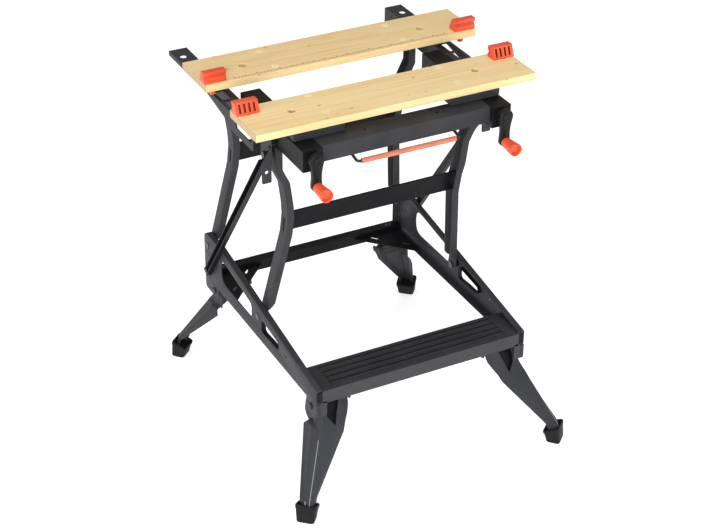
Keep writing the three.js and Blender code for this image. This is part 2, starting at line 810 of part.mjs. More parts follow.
function beamSolid() {
  const half = channelInner - fit;
  const rear = beamFront + beamDepth;
  const tube = cut(
    block([-half, half], [beamFront, rear], [beamBottom, beamTop]),
    block([-half - 1, half + 1], [beamFront + sheet, rear - sheet], [beamBottom + sheet, beamTop - sheet]),
  );
  const clipSpan = [bailHinge.y - bailWireRadius - bailClipWall, bailHinge.y + bailWireRadius + bailClipWall];
  const clipBottom = bailHinge.z - bailWireRadius - bailClipWall;
  const clipX = bailHalfWidth - bailTail / 2 - bailClipWidth / 2;
  const clip = (x) => cut(
    block([x, x + bailClipWidth], clipSpan, [clipBottom, beamBottom + 1]),
    bar('x', [bailHinge.y, bailHinge.z], boreFor(bailWireRadius), x - 1, x + bailClipWidth + 1),
  );
  return joined(tube, clip(clipX), clip(-clipX - bailClipWidth));
}

function tieSolid() {
  const half = railInner - fit;
  const span = [rearTopPivot.y - tieLead, rearTopPivot.y - tieLead + tieDepth];
  const top = railTop - tieDrop;
  return cut(
    block([-half, half], span, [top - tieHeight, top]),
    block([-half - 1, half + 1], [span[0] + sheet, span[1] - sheet], [top - tieHeight + sheet, top - sheet]),
  );
}

function latchSolid() {
  const inner = railInner + sheet + fit;
  const outer = inner + latchWidth;
  const front = frontTopPivot.y - latchLead;
  const rear = front + latchThickness;
  const bottom = frontTopPivot.z - latchBelow;
  const top = frontTopPivot.z + latchAbove;
  const plate = drawn('y', outline([
    [inner, bottom, latchRadius], [outer, bottom, latchRadius],
    [outer, top - latchTaper, latchRadius], [inner + sheet, top, 0], [inner, top, 0],
  ]), front, rear);
  const flangeRear = frontTopPivot.y - pivotPinRadius - 1;
  const flange = block([inner, inner + sheet], [front, flangeRear], [frontTopPivot.z - tabDrop, top]);
  const hole = bar('y', [(inner + outer) / 2, bottom + latchHoleRise], latchHole, front - 1, rear + 1);
  return cut(joined(plate, flange), hole);
}

// Jaws

// Round holes of one jaw: its two dogs and its spare dog holes
function jawSolid(front, dogY, spareY) {
  const half = jawLength / 2;
  const hole = (x, y) => bar('z', [x, y], boreFor(dogHoleRadius), jawBottom - 1, jawTop + 1);
  return cut(
    block([-half, half], [front, front + jawDepth], [jawBottom, jawTop]),
    hole(dogX, dogY), hole(-dogX, dogY), hole(spareX, spareY), hole(-spareX, spareY),
  );
}

function carrierSolid(spareY) {
  const outer = channelOuter - sheet;
  const inner = outer - carrierWidth;
  const top = jawBottom - fit;
  const bottom = top - carrierHeight;
  const front = frontJawFront + carrierSetback;
  const rear = front + carrierDepth;
  const nutBottom = screwHeight - nutWidth / 2;
  const hollow = [inner + sheet, channelInner - carrierWall];
  const pad = cut(
    block([inner, outer], [front, rear], [bottom, top]),
    block(hollow, [front + sheet, rear - sheet], [bottom - 1, top - sheet]),
  );
  const nutSpan = [nutFront, nutFront + nutLength];
  return cut(
    joined(
      pad,
      block([screwX - postWidth / 2, screwX + postWidth / 2], nutSpan, [screwHeight, bottom + 1]),
      block([screwX - nutWidth / 2, screwX + nutWidth / 2], nutSpan, [nutBottom, nutBottom + nutWidth]),
    ),
    bar('y', [screwX, screwHeight], boreFor(screwRadius), nutFront - 1, nutFront + nutLength + 1),
    bar('z', [spareX, spareY], boreFor(dogHoleRadius), bottom + sheet, top + 1),
  );
}

// Swivelling dog with its peg on the local Z axis, jaw surface at z = 0, grooved face towards -Y
function dogSolid() {
  const low = fit;
  const top = dogHeight;
  const back = dogOffset + dogDepth / 2;
  const front = dogOffset - dogDepth / 2;
  const side = drawn('x', outline([
    [front, low, dogEdge], [back, low, dogEdge], [back, top - dogChamfer, dogEdge],
    [back - dogChamfer, top, dogEdge], [front, top, dogEdge],
  ]), -dogLength / 2, dogLength / 2);
  const bite = (x) => drawn('z', outline([
    [x - dogBite, back + 1], [x + dogBite, back + 1], [x, back - dogBite],
  ]), -1, top + 1);
  const grooves = [];
  for (let i = 0; i < dogGrooves; i += 1) {
    const x = (i - (dogGrooves - 1) / 2) * dogGroovePitch;
    const across = [x - dogGrooveWidth / 2, x + dogGrooveWidth / 2];
    grooves.push(block(across, [front - 1, front + dogGrooveDepth], [low + dogEdge * 2, top - dogEdge * 2]));
  }
  const pegBottom = -jawThickness - dogPegDrop;
  const slitHalf = dogPegSlit / 2;
  const slit = block([-slitHalf, slitHalf], [-dogDepth, dogDepth], [pegBottom - 1, -jawThickness]);
  return cut(
    joined(side, bar('z', [0, 0], dogHoleRadius, pegBottom, low + 1)),
    ...grooves,
    bite(-dogLength / 2),
    bite(dogLength / 2),
    slit,
  );
}

// Vice screw, crank and knob, on the local Y axis of the screw

function screwSolid() {
  const rear = channelRear - bearingSetback + screwTail;
  const collarFront = channelFront + sheet + fit;
  return joined(
    bar('y', [0, 0], screwRadius, crankFront + crankFace, rear),
    bar('y', [0, 0], screwCollarRadius, collarFront, collarFront + screwCollarLength),
  );
}

function crankSolid() {
  const rear = crankFront + crankThickness;
  const collarRear = rear + crankCollarLength;
  const spindleFront = crankFront - knobLength + knobRecessDepth + 1;
  const arm = rectangle([-crankEndRadius, crankEndRadius], [-crankThrow, 0]);
  return cut(
    joined(
      bar('y', [0, 0], crankHubRadius, crankFront, rear),
      bar('y', [0, -crankThrow], crankEndRadius, crankFront, rear),
      drawn('y', arm, crankFront, rear),
      bar('y', [0, 0], crankCollarRadius, rear - 1, collarRear),
      bar('y', [0, -crankThrow], spindleRadius, spindleFront, crankFront + 1),
    ),
    bar('y', [0, 0], boreFor(screwRadius), crankFront + crankFace - fit, collarRear + 1),
  );
}

// Tapered grip on the local Y axis, from y = 0 at the crank to its hollow tip
function knobSolid() {
  const bore = boreFor(spindleRadius);
  const tip = -knobLength;
  const floor = tip + knobRecessDepth;
  const profile = [
    [bore, 0], [knobBaseRadius, 0], [knobTipRadius, tip + knobEdge], [knobTipRadius - knobEdge / 3, tip],
    [knobRecessRadius, tip], [knobRecessRadius, floor], [bore, floor], [bore, 0],
  ].map(([radius, y]) => new THREE.Vector2(radius, y));
  return toSolid(new THREE.LatheGeometry(profile.reverse(), roundSides));
}

// Bail, from its hinge line under the front beam

function bailWireSolid() {
  const slope = bailDrop / bailReach;
  const at = (x, y) => new THREE.Vector3(x, y, y * slope);
  const arms = (side) => {
    const x = side * bailHalfWidth;
    const bendX = x - side * bailBend;
    return [
      new THREE.LineCurve3(at(x - side * bailTail, 0), at(bendX, 0)),
      new THREE.QuadraticBezierCurve3(at(bendX, 0), at(x, 0), at(x, -bailBend)),
      new THREE.LineCurve3(at(x, -bailBend), at(x, bailBend - bailReach)),
      new THREE.QuadraticBezierCurve3(at(x, bailBend - bailReach), at(x, -bailReach), at(bendX, -bailReach)),
    ];
  };
  const back = ({ v0, v1, v2 }) => (
    v0 ? new THREE.QuadraticBezierCurve3(v2, v1, v0) : new THREE.LineCurve3(v2, v1)
  );
  const grip = bailHalfWidth - bailBend;
  const path = new THREE.CurvePath();
  path.curves = [
    ...arms(1),
    new THREE.LineCurve3(at(grip, -bailReach), at(-grip, -bailReach)),
    ...arms(-1).reverse().map(back),
  ];
  const section = new THREE.Shape(arc(0, 0, bailWireRadius, 0, 2 * Math.PI, bailSides).slice(0, -1));
  const settings = { steps: bailSteps, bevelEnabled: false, extrudePath: path };
  return toSolid(new THREE.ExtrudeGeometry(section, settings));
}

function bailSleeveSolid() {
  const half = bailHalfWidth - bailBend - bailSleeveMargin;
  const centre = [-bailReach, -bailDrop];
  return cut(
    bar('x', centre, bailSleeveRadius, -half, half),
    bar('x', centre, boreFor(bailWireRadius), -half - 1, half + 1),
  );
}

// Assembly

const bench = new THREE.Group();

function addMesh(parent, name, geometry, finish) {
  const mesh = new THREE.Mesh(geometry, new THREE.MeshStandardMaterial(finishes[finish]));
  mesh.name = name;
  parent.add(mesh);
}

const addOne = (parent, name, solid, finish) => addMesh(parent, name, toGeometry(solid), finish);

function addPair(parent, name, solid, finish) {
  const geometry = toGeometry(solid);
  addMesh(parent, `${name}_right`, geometry, finish);
  addMesh(parent, `${name}_left`, mirrored(geometry), finish);
}

function groupAt(parent, x, y, z) {
  const group = new THREE.Group();
  group.position.set(x, y, z);
  parent.add(group);
  return group;
}

// Base with its pins
const base = groupAt(bench, 0, 0, 0);
addPair(base, 'side_arm', armSolid(), 'paint');
addOne(base, 'step_tread', stepSolid(), 'tread');
addOne(base, 'rear_crossbar', crossbarSolid(), 'paint');
const flushHead = [[pinHeadRadius, baseHalfWidth + fit, baseHalfWidth + fit + flushHeadHeight]];
addPair(base, 'front_pivot_pin', pin([frontPivot.y, frontPivot.z], pivotPin(armWebInner, flushHead)), 'zinc');
addPair(base, 'rear_pivot_pin', pin([rearPivot.y, rearPivot.z], pivotPin(armWebInner, flushHead)), 'zinc');
const braceWebOuter = braceInner + sheet;
addPair(base, 'brace_pin', pin([bracePin.y, bracePin.z], [
  [pinHeadRadius - 1, armWebInner - fit - pinHeadHeight, armWebInner - fit],
  [pivotPinRadius, armWebInner - fit, braceWebOuter + fit],
  [pinHeadRadius - 1, baseHalfWidth + fit, braceInner - fit],
  [pinHeadRadius - 1, braceWebOuter + fit, braceWebOuter + fit + pinHeadHeight],
]), 'zinc');
const legPin = (y) => pin([y, hingeHeight], [
  [legPinHeadRadius, legInner - fit - pinHeadHeight, legInner - fit],
  [legPinRadius, legInner - fit, baseHalfWidth + fit],
  [legPinHeadRadius, baseHalfWidth + fit, baseHalfWidth + fit + pinHeadHeight],
]);
addPair(base, 'front_leg_pin', legPin(frontHinge), 'zinc');
addPair(base, 'rear_leg_pin', legPin(rearHinge), 'zinc');

// Legs and feet: the rear ones are the front ones turned half round
const legGeometry = toGeometry(legSolid());
const footGeometry = toGeometry(footSolid());
const corners = [['front', frontHinge, 0], ['rear', rearHinge, Math.PI]];
for (const [place, hinge, turn] of corners) {
  const corner = groupAt(bench, 0, hinge, 0);
  corner.rotation.z = turn;
  const [plain, flipped] = turn ? ['left', 'right'] : ['right', 'left'];
  addMesh(corner, `${place}_leg_${plain}`, legGeometry, 'paint');
  addMesh(corner, `${place}_leg_${flipped}`, mirrored(legGeometry), 'paint');
  addMesh(corner, `${place}_foot_${plain}`, footGeometry, 'rubber');
  addMesh(corner, `${place}_foot_${flipped}`, mirrored(footGeometry), 'rubber');
}

// Front and rear link frames
const uprightPair = uprightSolid();
const panel = panelSolid();
for (const [place, pivot] of [['front', frontPivot], ['rear', rearPivot]]) {
  const frame = groupAt(bench, 0, pivot.y, pivot.z);
  addPair(frame, `${place}_upright`, uprightPair, 'paint');
  addOne(frame, `${place}_panel`, panel, 'paint');
}

// Braces, leaning forward to the front top pivots
const braceVector = frontTopPivot.clone().sub(bracePin);
const braceFrame = groupAt(bench, 0, bracePin.y, bracePin.z);
braceFrame.rotation.x = Math.atan2(-braceVector.y, braceVector.z);
addPair(braceFrame, 'brace', braceSolid(Math.hypot(braceVector.y, braceVector.z)), 'paint');

// Bench top
const top = groupAt(bench, 0, 0, 0);
addPair(top, 'side_rail', railSolid(), 'paint');
addPair(top, 'screw_channel', channelSolid(), 'paint');
addOne(top, 'front_beam', beamSolid(), 'paint');
addOne(top, 'rear_tie', tieSolid(), 'paint');
addPair(top, 'latch_plate', latchSolid(), 'paint');
addPair(top, 'front_top_pin', pin([frontTopPivot.y, frontTopPivot.z], pivotPin(railInner, [
  [pivotPinRadius, railInner + sheet + fit, braceInner - fit],
  [forkPinRadius, braceInner - fit - 1, braceWebOuter + fit + 1],
  [pinHeadRadius - 2, braceWebOuter + fit, braceWebOuter + fit + pinHeadHeight],
])), 'zinc');
addPair(top, 'rear_top_pin', pin([rearTopPivot.y, rearTopPivot.z], pivotPin(railInner, [
  [pinHeadRadius, railInner + sheet + fit, railInner + sheet + fit + pinHeadHeight],
])), 'zinc');

// Jaws with their carriers and dogs
const frontDogY = frontJawRear - dogFrontSetback;
const rearDogY = rearJawFront + dogRearSetback;
const frontSpareY = frontJawRear - dogHoleSetback;
addOne(top, 'rear_jaw', jawSolid(rearJawFront, rearDogY, rearJawFront + dogHoleSetback), 'pine');
addOne(top, 'front_jaw', jawSolid(frontJawFront, frontDogY, frontSpareY), 'pine');
addPair(top, 'jaw_carrier', carrierSolid(frontSpareY), 'paint');
const dogGeometry = toGeometry(dogSolid());
for (const [place, y, turn] of [['front', frontDogY, 0], ['rear', rearDogY, Math.PI]]) {
  for (const [side, sign] of [['left', -1], ['right', 1]]) {
    const seat = groupAt(top, sign * dogX, y, jawTop);
    seat.rotation.z = turn;
    addMesh(seat, `${place}_dog_${side}`, dogGeometry, 'orange');
  }
}

// Vice screws, cranks and knobs
const screwGeometry = toGeometry(screwSolid());
const crankGeometry = toGeometry(crankSolid());
const knobGeometry = toGeometry(knobSolid());
for (const [side, sign] of [['left', -1], ['right', 1]]) {
  const axis = groupAt(top, sign * screwX, 0, screwHeight);
  addMesh(axis, `vice_screw_${side}`, screwGeometry, 'zinc');
  addMesh(axis, `crank_${side}`, crankGeometry, 'paint');
  addMesh(groupAt(axis, 0, crankFront - fit, -crankThrow), `crank_knob_${side}`, knobGeometry, 'orange');
}

// Bail handle
const bail = groupAt(top, 0, bailHinge.y, bailHinge.z);
addOne(bail, 'bail_wire', bailWireSolid(), 'paint');
addOne(bail, 'bail_sleeve', bailSleeveSolid(), 'sleeve');

export default bench;
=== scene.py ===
"""Looks of the folding workbench: finishes, fittings and the photograph's view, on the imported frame."""

import json
import logging
import math
from dataclasses import dataclass, field
from enum import Enum
from typing import Callable, Iterable, Sequence

import bmesh
import bpy
from mathutils import Matrix, Vector

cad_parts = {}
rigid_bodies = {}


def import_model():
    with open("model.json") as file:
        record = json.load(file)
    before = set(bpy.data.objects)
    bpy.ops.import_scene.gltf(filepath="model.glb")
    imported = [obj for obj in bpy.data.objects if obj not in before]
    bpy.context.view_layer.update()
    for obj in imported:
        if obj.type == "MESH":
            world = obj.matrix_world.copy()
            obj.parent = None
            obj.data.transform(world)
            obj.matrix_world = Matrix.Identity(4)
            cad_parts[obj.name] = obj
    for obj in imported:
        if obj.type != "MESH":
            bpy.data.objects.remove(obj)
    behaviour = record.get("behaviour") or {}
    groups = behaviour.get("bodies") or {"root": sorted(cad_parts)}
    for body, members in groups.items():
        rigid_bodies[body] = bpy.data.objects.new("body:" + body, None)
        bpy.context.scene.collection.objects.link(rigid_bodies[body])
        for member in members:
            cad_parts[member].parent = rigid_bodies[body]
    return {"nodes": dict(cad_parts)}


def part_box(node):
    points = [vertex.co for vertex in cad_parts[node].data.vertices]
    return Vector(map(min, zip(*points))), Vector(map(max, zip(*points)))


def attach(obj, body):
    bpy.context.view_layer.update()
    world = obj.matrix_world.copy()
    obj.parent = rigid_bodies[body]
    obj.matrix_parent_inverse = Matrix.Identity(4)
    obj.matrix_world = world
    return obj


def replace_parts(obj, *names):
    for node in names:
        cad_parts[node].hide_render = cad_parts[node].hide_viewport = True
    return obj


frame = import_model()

LOG = logging.getLogger("workbench")
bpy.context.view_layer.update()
MM = 0.001
WELD = 0.00001
PAINTED_LIGHT = "painted_light"
Pair = tuple[float, float]
Outline = tuple[Pair, ...]
Point = tuple[float, float, float]
Colour = tuple[float, float, float]


class Side(Enum):
    """Half of the bench that a paired piece belongs to."""

    LEFT = "left"
    RIGHT = "right"

    @property
    def sign(self) -> int:
        """Direction of this side along X."""
        return -1 if self is Side.LEFT else 1


class Place(Enum):
    """End of the bench that a piece belongs to."""

    FRONT = "front"
    REAR = "rear"


class Slot(Enum):
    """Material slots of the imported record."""

    PAINT = "paint"
    PINE = "pine"
    ORANGE = "orange"
    SLEEVE = "sleeve"
    BOOT = "boot"
    STEEL = "zinc"


class Kind(Enum):
    """Kinds of socket in the node groups."""

    COLOUR = "NodeSocketColor"
    NUMBER = "NodeSocketFloat"
    COUNT = "NodeSocketInt"
    VECTOR = "NodeSocketVector"
    MATERIAL = "NodeSocketMaterial"
    GEOMETRY = "NodeSocketGeometry"


@dataclass(frozen=True)
class Corner:
    """One of the bench's four corners."""

    place: Place
    side: Side

    def named(self, piece: str) -> str:
        """Return the name of a piece at this corner."""
        return f"{self.place.value}_{piece}_{self.side.value}"


CORNERS = [Corner(place, side) for place in Place for side in Side]


def opaque(colour: Colour) -> tuple[float, ...]:
    """Return a colour with full alpha."""
    return (*colour, 1.0)


class NodeCanvas:
    """Adds nodes to one tree and joins their sockets."""

    def __init__(self, tree: bpy.types.NodeTree) -> None:
        """Keep the tree that the nodes go into."""
        self.tree = tree

    def fill(self, node: bpy.types.Node, inputs: dict) -> None:
        """Set or link inputs of a node.

        Args:
            node: The node.
            inputs: Values or sockets by input name or number.
        """
        for key, value in inputs.items():
            if isinstance(value, bpy.types.NodeSocket):
                self.tree.links.new(value, node.inputs[key])
            else:
                node.inputs[key].default_value = value

    def add(self, kind: str, inputs: dict | None = None, **settings: object) -> bpy.types.Node:
        """Add one node.

        Args:
            kind: Blender's name of the node type.
            inputs: Values or sockets by input name or number.
            settings: Properties of the node itself.

        Returns:
            The new node.
        """
        node = self.tree.nodes.new(kind)
        for key, value in settings.items():
            setattr(node, key, value)
        self.fill(node, inputs or {})
        return node

    def math(self, operation: str, *values: object) -> bpy.types.NodeSocket:
        """Return the result of a Math node on numbers or sockets."""
        return self.add("ShaderNodeMath", dict(enumerate(values)), operation=operation).outputs[0]

    def vector(self, operation: str, *values: object) -> bpy.types.NodeSocket:
        """Return the result of a Vector Math node on vectors or sockets."""
        node = self.add("ShaderNodeVectorMath", dict(enumerate(values)), operation=operation)
        return node.outputs["Value" if operation == "LENGTH" else "Vector"]

    def combined(self, **axes: object) -> bpy.types.NodeSocket:
        """Return the vector of the given X, Y and Z, each 0 if left out."""
        return self.add("ShaderNodeCombineXYZ", axes).outputs[0]

    def place(self) -> bpy.types.NodeSocket:
        """Return the object's own coordinates."""
        return self.add("ShaderNodeTexCoord").outputs["Object"]

    def noise(
        self, place: object, scale: object = 1.0, detail: float = 2.0, roughness: float = 0.5,
    ) -> bpy.types.bpy_prop_collection:
        """Add a noise texture.

        Args:
            place: Coordinates that it follows.
            scale: Its scale.
            detail: Number of finer layers.
            roughness: Share of the finer layers.

        Returns:
            The outputs, number 0 being the value.
        """
        inputs = {"Vector": place, "Scale": scale, "Detail": detail, "Roughness": roughness}
        return self.add("ShaderNodeTexNoise", inputs).outputs

    def cells(self, place: object) -> bpy.types.NodeSocket:
        """Return the distance from the nearest of many scattered points."""
        return self.add("ShaderNodeTexVoronoi", {"Vector": place, "Scale": 1.0}).outputs["Distance"]

    def ranged(
        self, value: object, low: float, high: float, to_low: float, to_high: float,
    ) -> bpy.types.NodeSocket:
        """Map a value smoothly from one range to another.

        Args:
            value: Number or socket to map.
            low: Start of the range it comes from.
            high: End of the range it comes from.
            to_low: Result at the start.
            to_high: Result at the end.

        Returns:
            The mapped value's socket.
        """
        inputs = {"Value": value, "From Min": low, "From Max": high, "To Min": to_low, "To Max": to_high}
        return self.add("ShaderNodeMapRange", inputs, interpolation_type="SMOOTHSTEP").outputs["Result"]

    def blended(self, share: object, first: object, second: object) -> bpy.types.NodeSocket:
        """Return the mix of two colours, the first at share 0 and the second at share 1."""
        return self.add("ShaderNodeMix", {0: share, 6: first, 7: second}, data_type="RGBA").outputs[2]


@dataclass(frozen=True)
class Socket:
    """One named input or output of a node group."""

    name: str
    kind: Kind
    default: object = None


class NodeGroup(NodeCanvas):
    """Canvas on a new node group, with the sockets of its inputs at hand."""

    def __init__(self, name: str, kind: str, inputs: Sequence[Socket], outputs: Sequence[Socket]) -> None:
        """Make the group and its sockets.

        Args:
            name: The group's name.
            kind: Blender's name of the tree type.
            inputs: Its inputs.
            outputs: Its outputs.
        """
        super().__init__(bpy.data.node_groups.new(name, kind))
        self.ids: dict[str, str] = {}
        for way, sockets in (("INPUT", inputs), ("OUTPUT", outputs)):
            for socket in sockets:
                made = self.tree.interface.new_socket(
                    name=socket.name, in_out=way, socket_type=socket.kind.value)
                if socket.default is not None:
                    made.default_value = socket.default
                self.ids.setdefault(socket.name, made.identifier)
        self.given = self.add("NodeGroupInput").outputs
        self.out = self.add("NodeGroupOutput")


SHADER_TREE = "ShaderNodeTree"
LOOK = (Socket("Color", Kind.COLOUR), Socket("Roughness", Kind.NUMBER), Socket("Height", Kind.NUMBER))


def mottled_coat() -> bpy.types.NodeTree:
    """Build the clouded, finely grained coat of paint, moulded plastic and rubber.

    Returns:
        The group's tree.
    """
    group = NodeGroup("Mottled Coat", SHADER_TREE, [
        Socket("Deep", Kind.COLOUR),
        Socket("Pale", Kind.COLOUR),
        Socket("Cloud Scale", Kind.NUMBER, 14.0),
        Socket("Grain Scale", Kind.NUMBER, 900.0),
        Socket("Rough Low", Kind.NUMBER, 0.4),
        Socket("Rough High", Kind.NUMBER, 0.55),
    ], LOOK)
    given, place = group.given, group.place()
    cloud = group.noise(place, given["Cloud Scale"], 4.0)[0]
    grain = group.noise(place, given["Grain Scale"])[0]
    fleck = group.ranged(grain, 0.52, 0.72, 0.0, 0.35)
    share = group.math("ADD", group.ranged(cloud, 0.3, 0.7, 0.0, 0.65), fleck)
    spread = group.math("SUBTRACT", given["Rough High"], given["Rough Low"])
    group.fill(group.out, {
        "Color": group.blended(share, given["Deep"], given["Pale"]),
        "Roughness": group.math("MULTIPLY_ADD", cloud, spread, given["Rough Low"]),
        "Height": grain,
    })
    return group.tree


def handling_marks() -> bpy.types.NodeTree:
    """Build the scuffs and faint dust that handling leaves.

    Returns:
        The group's tree.
    """
    inputs = [Socket("Scuff Scale", Kind.NUMBER, 60.0), Socket("Amount", Kind.NUMBER, 0.3)]
    group = NodeGroup("Handling Marks", SHADER_TREE, inputs, [Socket("Mask", Kind.NUMBER)])
    place = group.place()
    stretched = group.vector("MULTIPLY", place, (1.0, 0.35, 2.2))
    scratch = group.noise(stretched, group.given["Scuff Scale"], 6.0, 0.7)[0]
    patch = group.noise(place, 7.0)[0]
    marks = group.ranged(scratch, 0.56, 0.74, 0.0, 1.0)
    where = group.ranged(patch, 0.42, 0.66, 0.1, 1.0)
    mask = group.math("MULTIPLY", group.math("MULTIPLY", marks, where), group.given["Amount"])
    group.fill(group.out, {"Mask": mask})
    return group.tree


def sawn_pine() -> bpy.types.NodeTree:
    """Build sawn pine: growth rings round a far pith, fibres along X and small knots.

    Returns:
        The group's tree.
    """
    group = NodeGroup("Sawn Pine", SHADER_TREE, [
        Socket("Pith", Kind.VECTOR),
        Socket("Early Wood", Kind.COLOUR),
        Socket("Late Wood", Kind.COLOUR),
        Socket("Knot Wood", Kind.COLOUR),
        Socket("Ring Width", Kind.NUMBER, 0.007),
        Socket("Wander", Kind.NUMBER, 0.02),
    ], LOOK)
    given, crosswise = group.given, (0.0, 1.0, 1.0)

    def stretched(place: bpy.types.NodeSocket, factors: Point) -> bpy.types.NodeSocket:
        """Return coordinates scaled along each axis."""
        return group.vector("MULTIPLY", place, factors)

    local = group.vector("SUBTRACT", group.place(), given["Pith"])
    bend = group.noise(stretched(local, (2.6, 7.0, 7.0)), detail=2.5)["Color"]
    drift = stretched(group.vector("SUBTRACT", bend, (0.5, 0.5, 0.5)), crosswise)
    swing = group.add("ShaderNodeVectorMath", {0: drift, "Scale": given["Wander"]}, operation="SCALE")
    bent = group.vector("ADD", local, swing.outputs[0])
    knot = group.cells(stretched(local, (5.5, 13.0, 20.0)))
    speck = group.cells(stretched(local, (17.0, 31.0, 40.0)))
    swell = group.math("MULTIPLY", group.ranged(knot, 0.05, 0.34, 1.0, 0.0), 0.009)
    radius = group.math("ADD", group.vector("LENGTH", stretched(bent, crosswise)), swell)
    ring = group.math("FRACT", group.math("DIVIDE", radius, given["Ring Width"]))
    rise, fall = group.ranged(ring, 0.25, 0.9, 0.0, 1.0), group.ranged(ring, 0.9, 1.0, 1.0, 0.0)
    late = group.math("MULTIPLY", rise, fall)
    fibre = group.noise(stretched(bent, (9.0, 520.0, 520.0)), detail=3.0)[0]
    streak = group.noise(stretched(bent, (1.6, 46.0, 46.0)))[0]
    cloud = group.noise(stretched(local, (7.0, 16.0, 16.0)))[0]
    faded = group.math("MULTIPLY", late, group.ranged(cloud, 0.35, 0.68, 0.08, 0.5))
    tone = group.math("ADD", faded, group.ranged(streak, 0.35, 0.72, 0.0, 0.34))
    tone = group.math("ADD", tone, group.ranged(fibre, 0.4, 0.75, 0.0, 0.2))
    wood = group.blended(tone, given["Early Wood"], given["Late Wood"])
    dots = group.ranged(speck, 0.03, 0.1, 0.75, 0.0)
    core = group.math("MAXIMUM", group.ranged(knot, 0.03, 0.1, 0.7, 0.0), dots)
    group.fill(group.out, {
        "Color": group.blended(core, wood, given["Knot Wood"]),
        "Roughness": group.ranged(fibre, 0.3, 0.7, 0.42, 0.58),
        "Height": group.math("ADD", group.math("MULTIPLY", late, 0.4), fibre),
    })
    return group.tree


COAT_GROUP, HANDLING_GROUP, PINE_GROUP = mottled_coat(), handling_marks(), sawn_pine()


class MaterialCanvas(NodeCanvas):
    """Canvas on a new material that holds only a Principled shader."""

    def __init__(self, name: str) -> None:
        """Make the material.

        Args:
            name: The material's name.
        """
        self.material = bpy.data.materials.new(name)
        self.material.use_nodes = True
        self.material.node_tree.nodes.clear()
        super().__init__(self.material.node_tree)
        self.shader = self.add("ShaderNodeBsdfPrincipled")
        self.add("ShaderNodeOutputMaterial", {"Surface": self.shader.outputs[0]})

    def group(self, tree: bpy.types.NodeTree, inputs: dict) -> bpy.types.bpy_prop_collection:
        """Return the outputs of a shared group with its inputs set."""
        return self.add("ShaderNodeGroup", inputs, node_tree=tree).outputs

    def bump(self, height: bpy.types.NodeSocket, relief_mm: float, strength: float) -> bpy.types.NodeSocket:
        """Return the normal of a fine relief."""
        inputs = {"Height": height, "Distance": relief_mm * MM, "Strength": strength}
        return self.add("ShaderNodeBump", inputs).outputs[0]


@dataclass(frozen=True)
class CoatFinish:
    """Coat of one colour family, such as paint, moulded plastic, rubber or plated steel."""

    name: str
    deep: Colour
    pale: Colour
    worn: Colour
    cloud: float
    grain: float
    relief_mm: float
    rough: Pair
    metallic: float = 0.0
    coat: float = 0.0
    coat_rough: float = 0.3
    specular: float = 0.5
    scuffs: float = 0.25
    scuff_rough: float = 0.3
    relief_strength: float = 0.6
    # Colour painted on faces that carry the painted light attribute: painted highlight on the paint, painted
    # shade on the orange moulding.
    painted_light: Colour | None = None

    def material(self) -> bpy.types.Material:
        """Build the material from the shared coat and handling groups.

        Returns:
            The finished material.
        """
        canvas = MaterialCanvas(self.name)
        body = canvas.group(COAT_GROUP, {
            "Deep": opaque(self.deep), "Pale": opaque(self.pale),
            "Cloud Scale": self.cloud, "Grain Scale": self.grain,
            "Rough Low": self.rough[0], "Rough High": self.rough[1],
        })
        mask = canvas.group(HANDLING_GROUP, {"Amount": self.scuffs})["Mask"]
        colour = canvas.blended(mask, body["Color"], opaque(self.worn))
        # Painted light: faces with the attribute take the painted light colour instead of the coat's own.
        if self.painted_light is not None:
            share = canvas.add("ShaderNodeAttribute", attribute_name=PAINTED_LIGHT).outputs["Fac"]
            colour = canvas.blended(share, colour, opaque(self.painted_light))
        canvas.fill(canvas.shader, {
            "Base Color": colour,
            "Roughness": canvas.math("MULTIPLY_ADD", mask, self.scuff_rough, body["Roughness"]),
            "Normal": canvas.bump(body["Height"], self.relief_mm, self.relief_strength),
            "Metallic": self.metallic,
            "Coat Weight": self.coat,
            "Coat Roughness": self.coat_rough,
            "Specular IOR Level": self.specular,
        })
        return canvas.material


@dataclass(frozen=True)
class PineFinish:
    """Planed pine of one board, with its own pith and tone."""

    name: str
    pith: Point
    early: Colour
    late: Colour
    knot: Colour = (0.36, 0.16, 0.045)
    soil: Colour = (0.42, 0.25, 0.1)
    scuffs: float = 0.16
    # Colour of the jaw ends: end grain tone, darkened further as painted shade on the end faces.
    end_grain_and_shade: Colour = (0.4, 0.29, 0.16)
    end_share: float = 0.8
    end_mm: Pair = (304.0, 304.8)
    ring_mm: float = 7.5
    relief_mm: float = 0.12
    relief_strength: float = 0.5
    coat: float = 0.12
    coat_rough: float = 0.35

    def material(self) -> bpy.types.Material:
        """Build the material from the shared timber and handling groups.

        Returns:
            The finished material.
        """
        canvas = MaterialCanvas(self.name)
        wood = canvas.group(PINE_GROUP, {
            "Pith": self.pith, "Early Wood": opaque(self.early), "Late Wood": opaque(self.late),
            "Knot Wood": opaque(self.knot), "Ring Width": self.ring_mm * MM,
        })
        mask = canvas.group(HANDLING_GROUP, {"Amount": self.scuffs})["Mask"]
        soiled = canvas.blended(mask, wood["Color"], opaque(self.soil))
        along = canvas.add("ShaderNodeSeparateXYZ", {0: canvas.place()}).outputs["X"]
        start, stop = (reach * MM for reach in self.end_mm)
        # Jaw ends take the end colour, partly end grain tone and partly painted shade.
        sawn = canvas.ranged(canvas.math("ABSOLUTE", along), start, stop, 0.0, self.end_share)
        canvas.fill(canvas.shader, {
            "Base Color": canvas.blended(sawn, soiled, opaque(self.end_grain_and_shade)),
            "Roughness": wood["Roughness"],
            "Normal": canvas.bump(wood["Height"], self.relief_mm, self.relief_strength),
            "Coat Weight": self.coat,
            "Coat Roughness": self.coat_rough,
        })
        return canvas.material


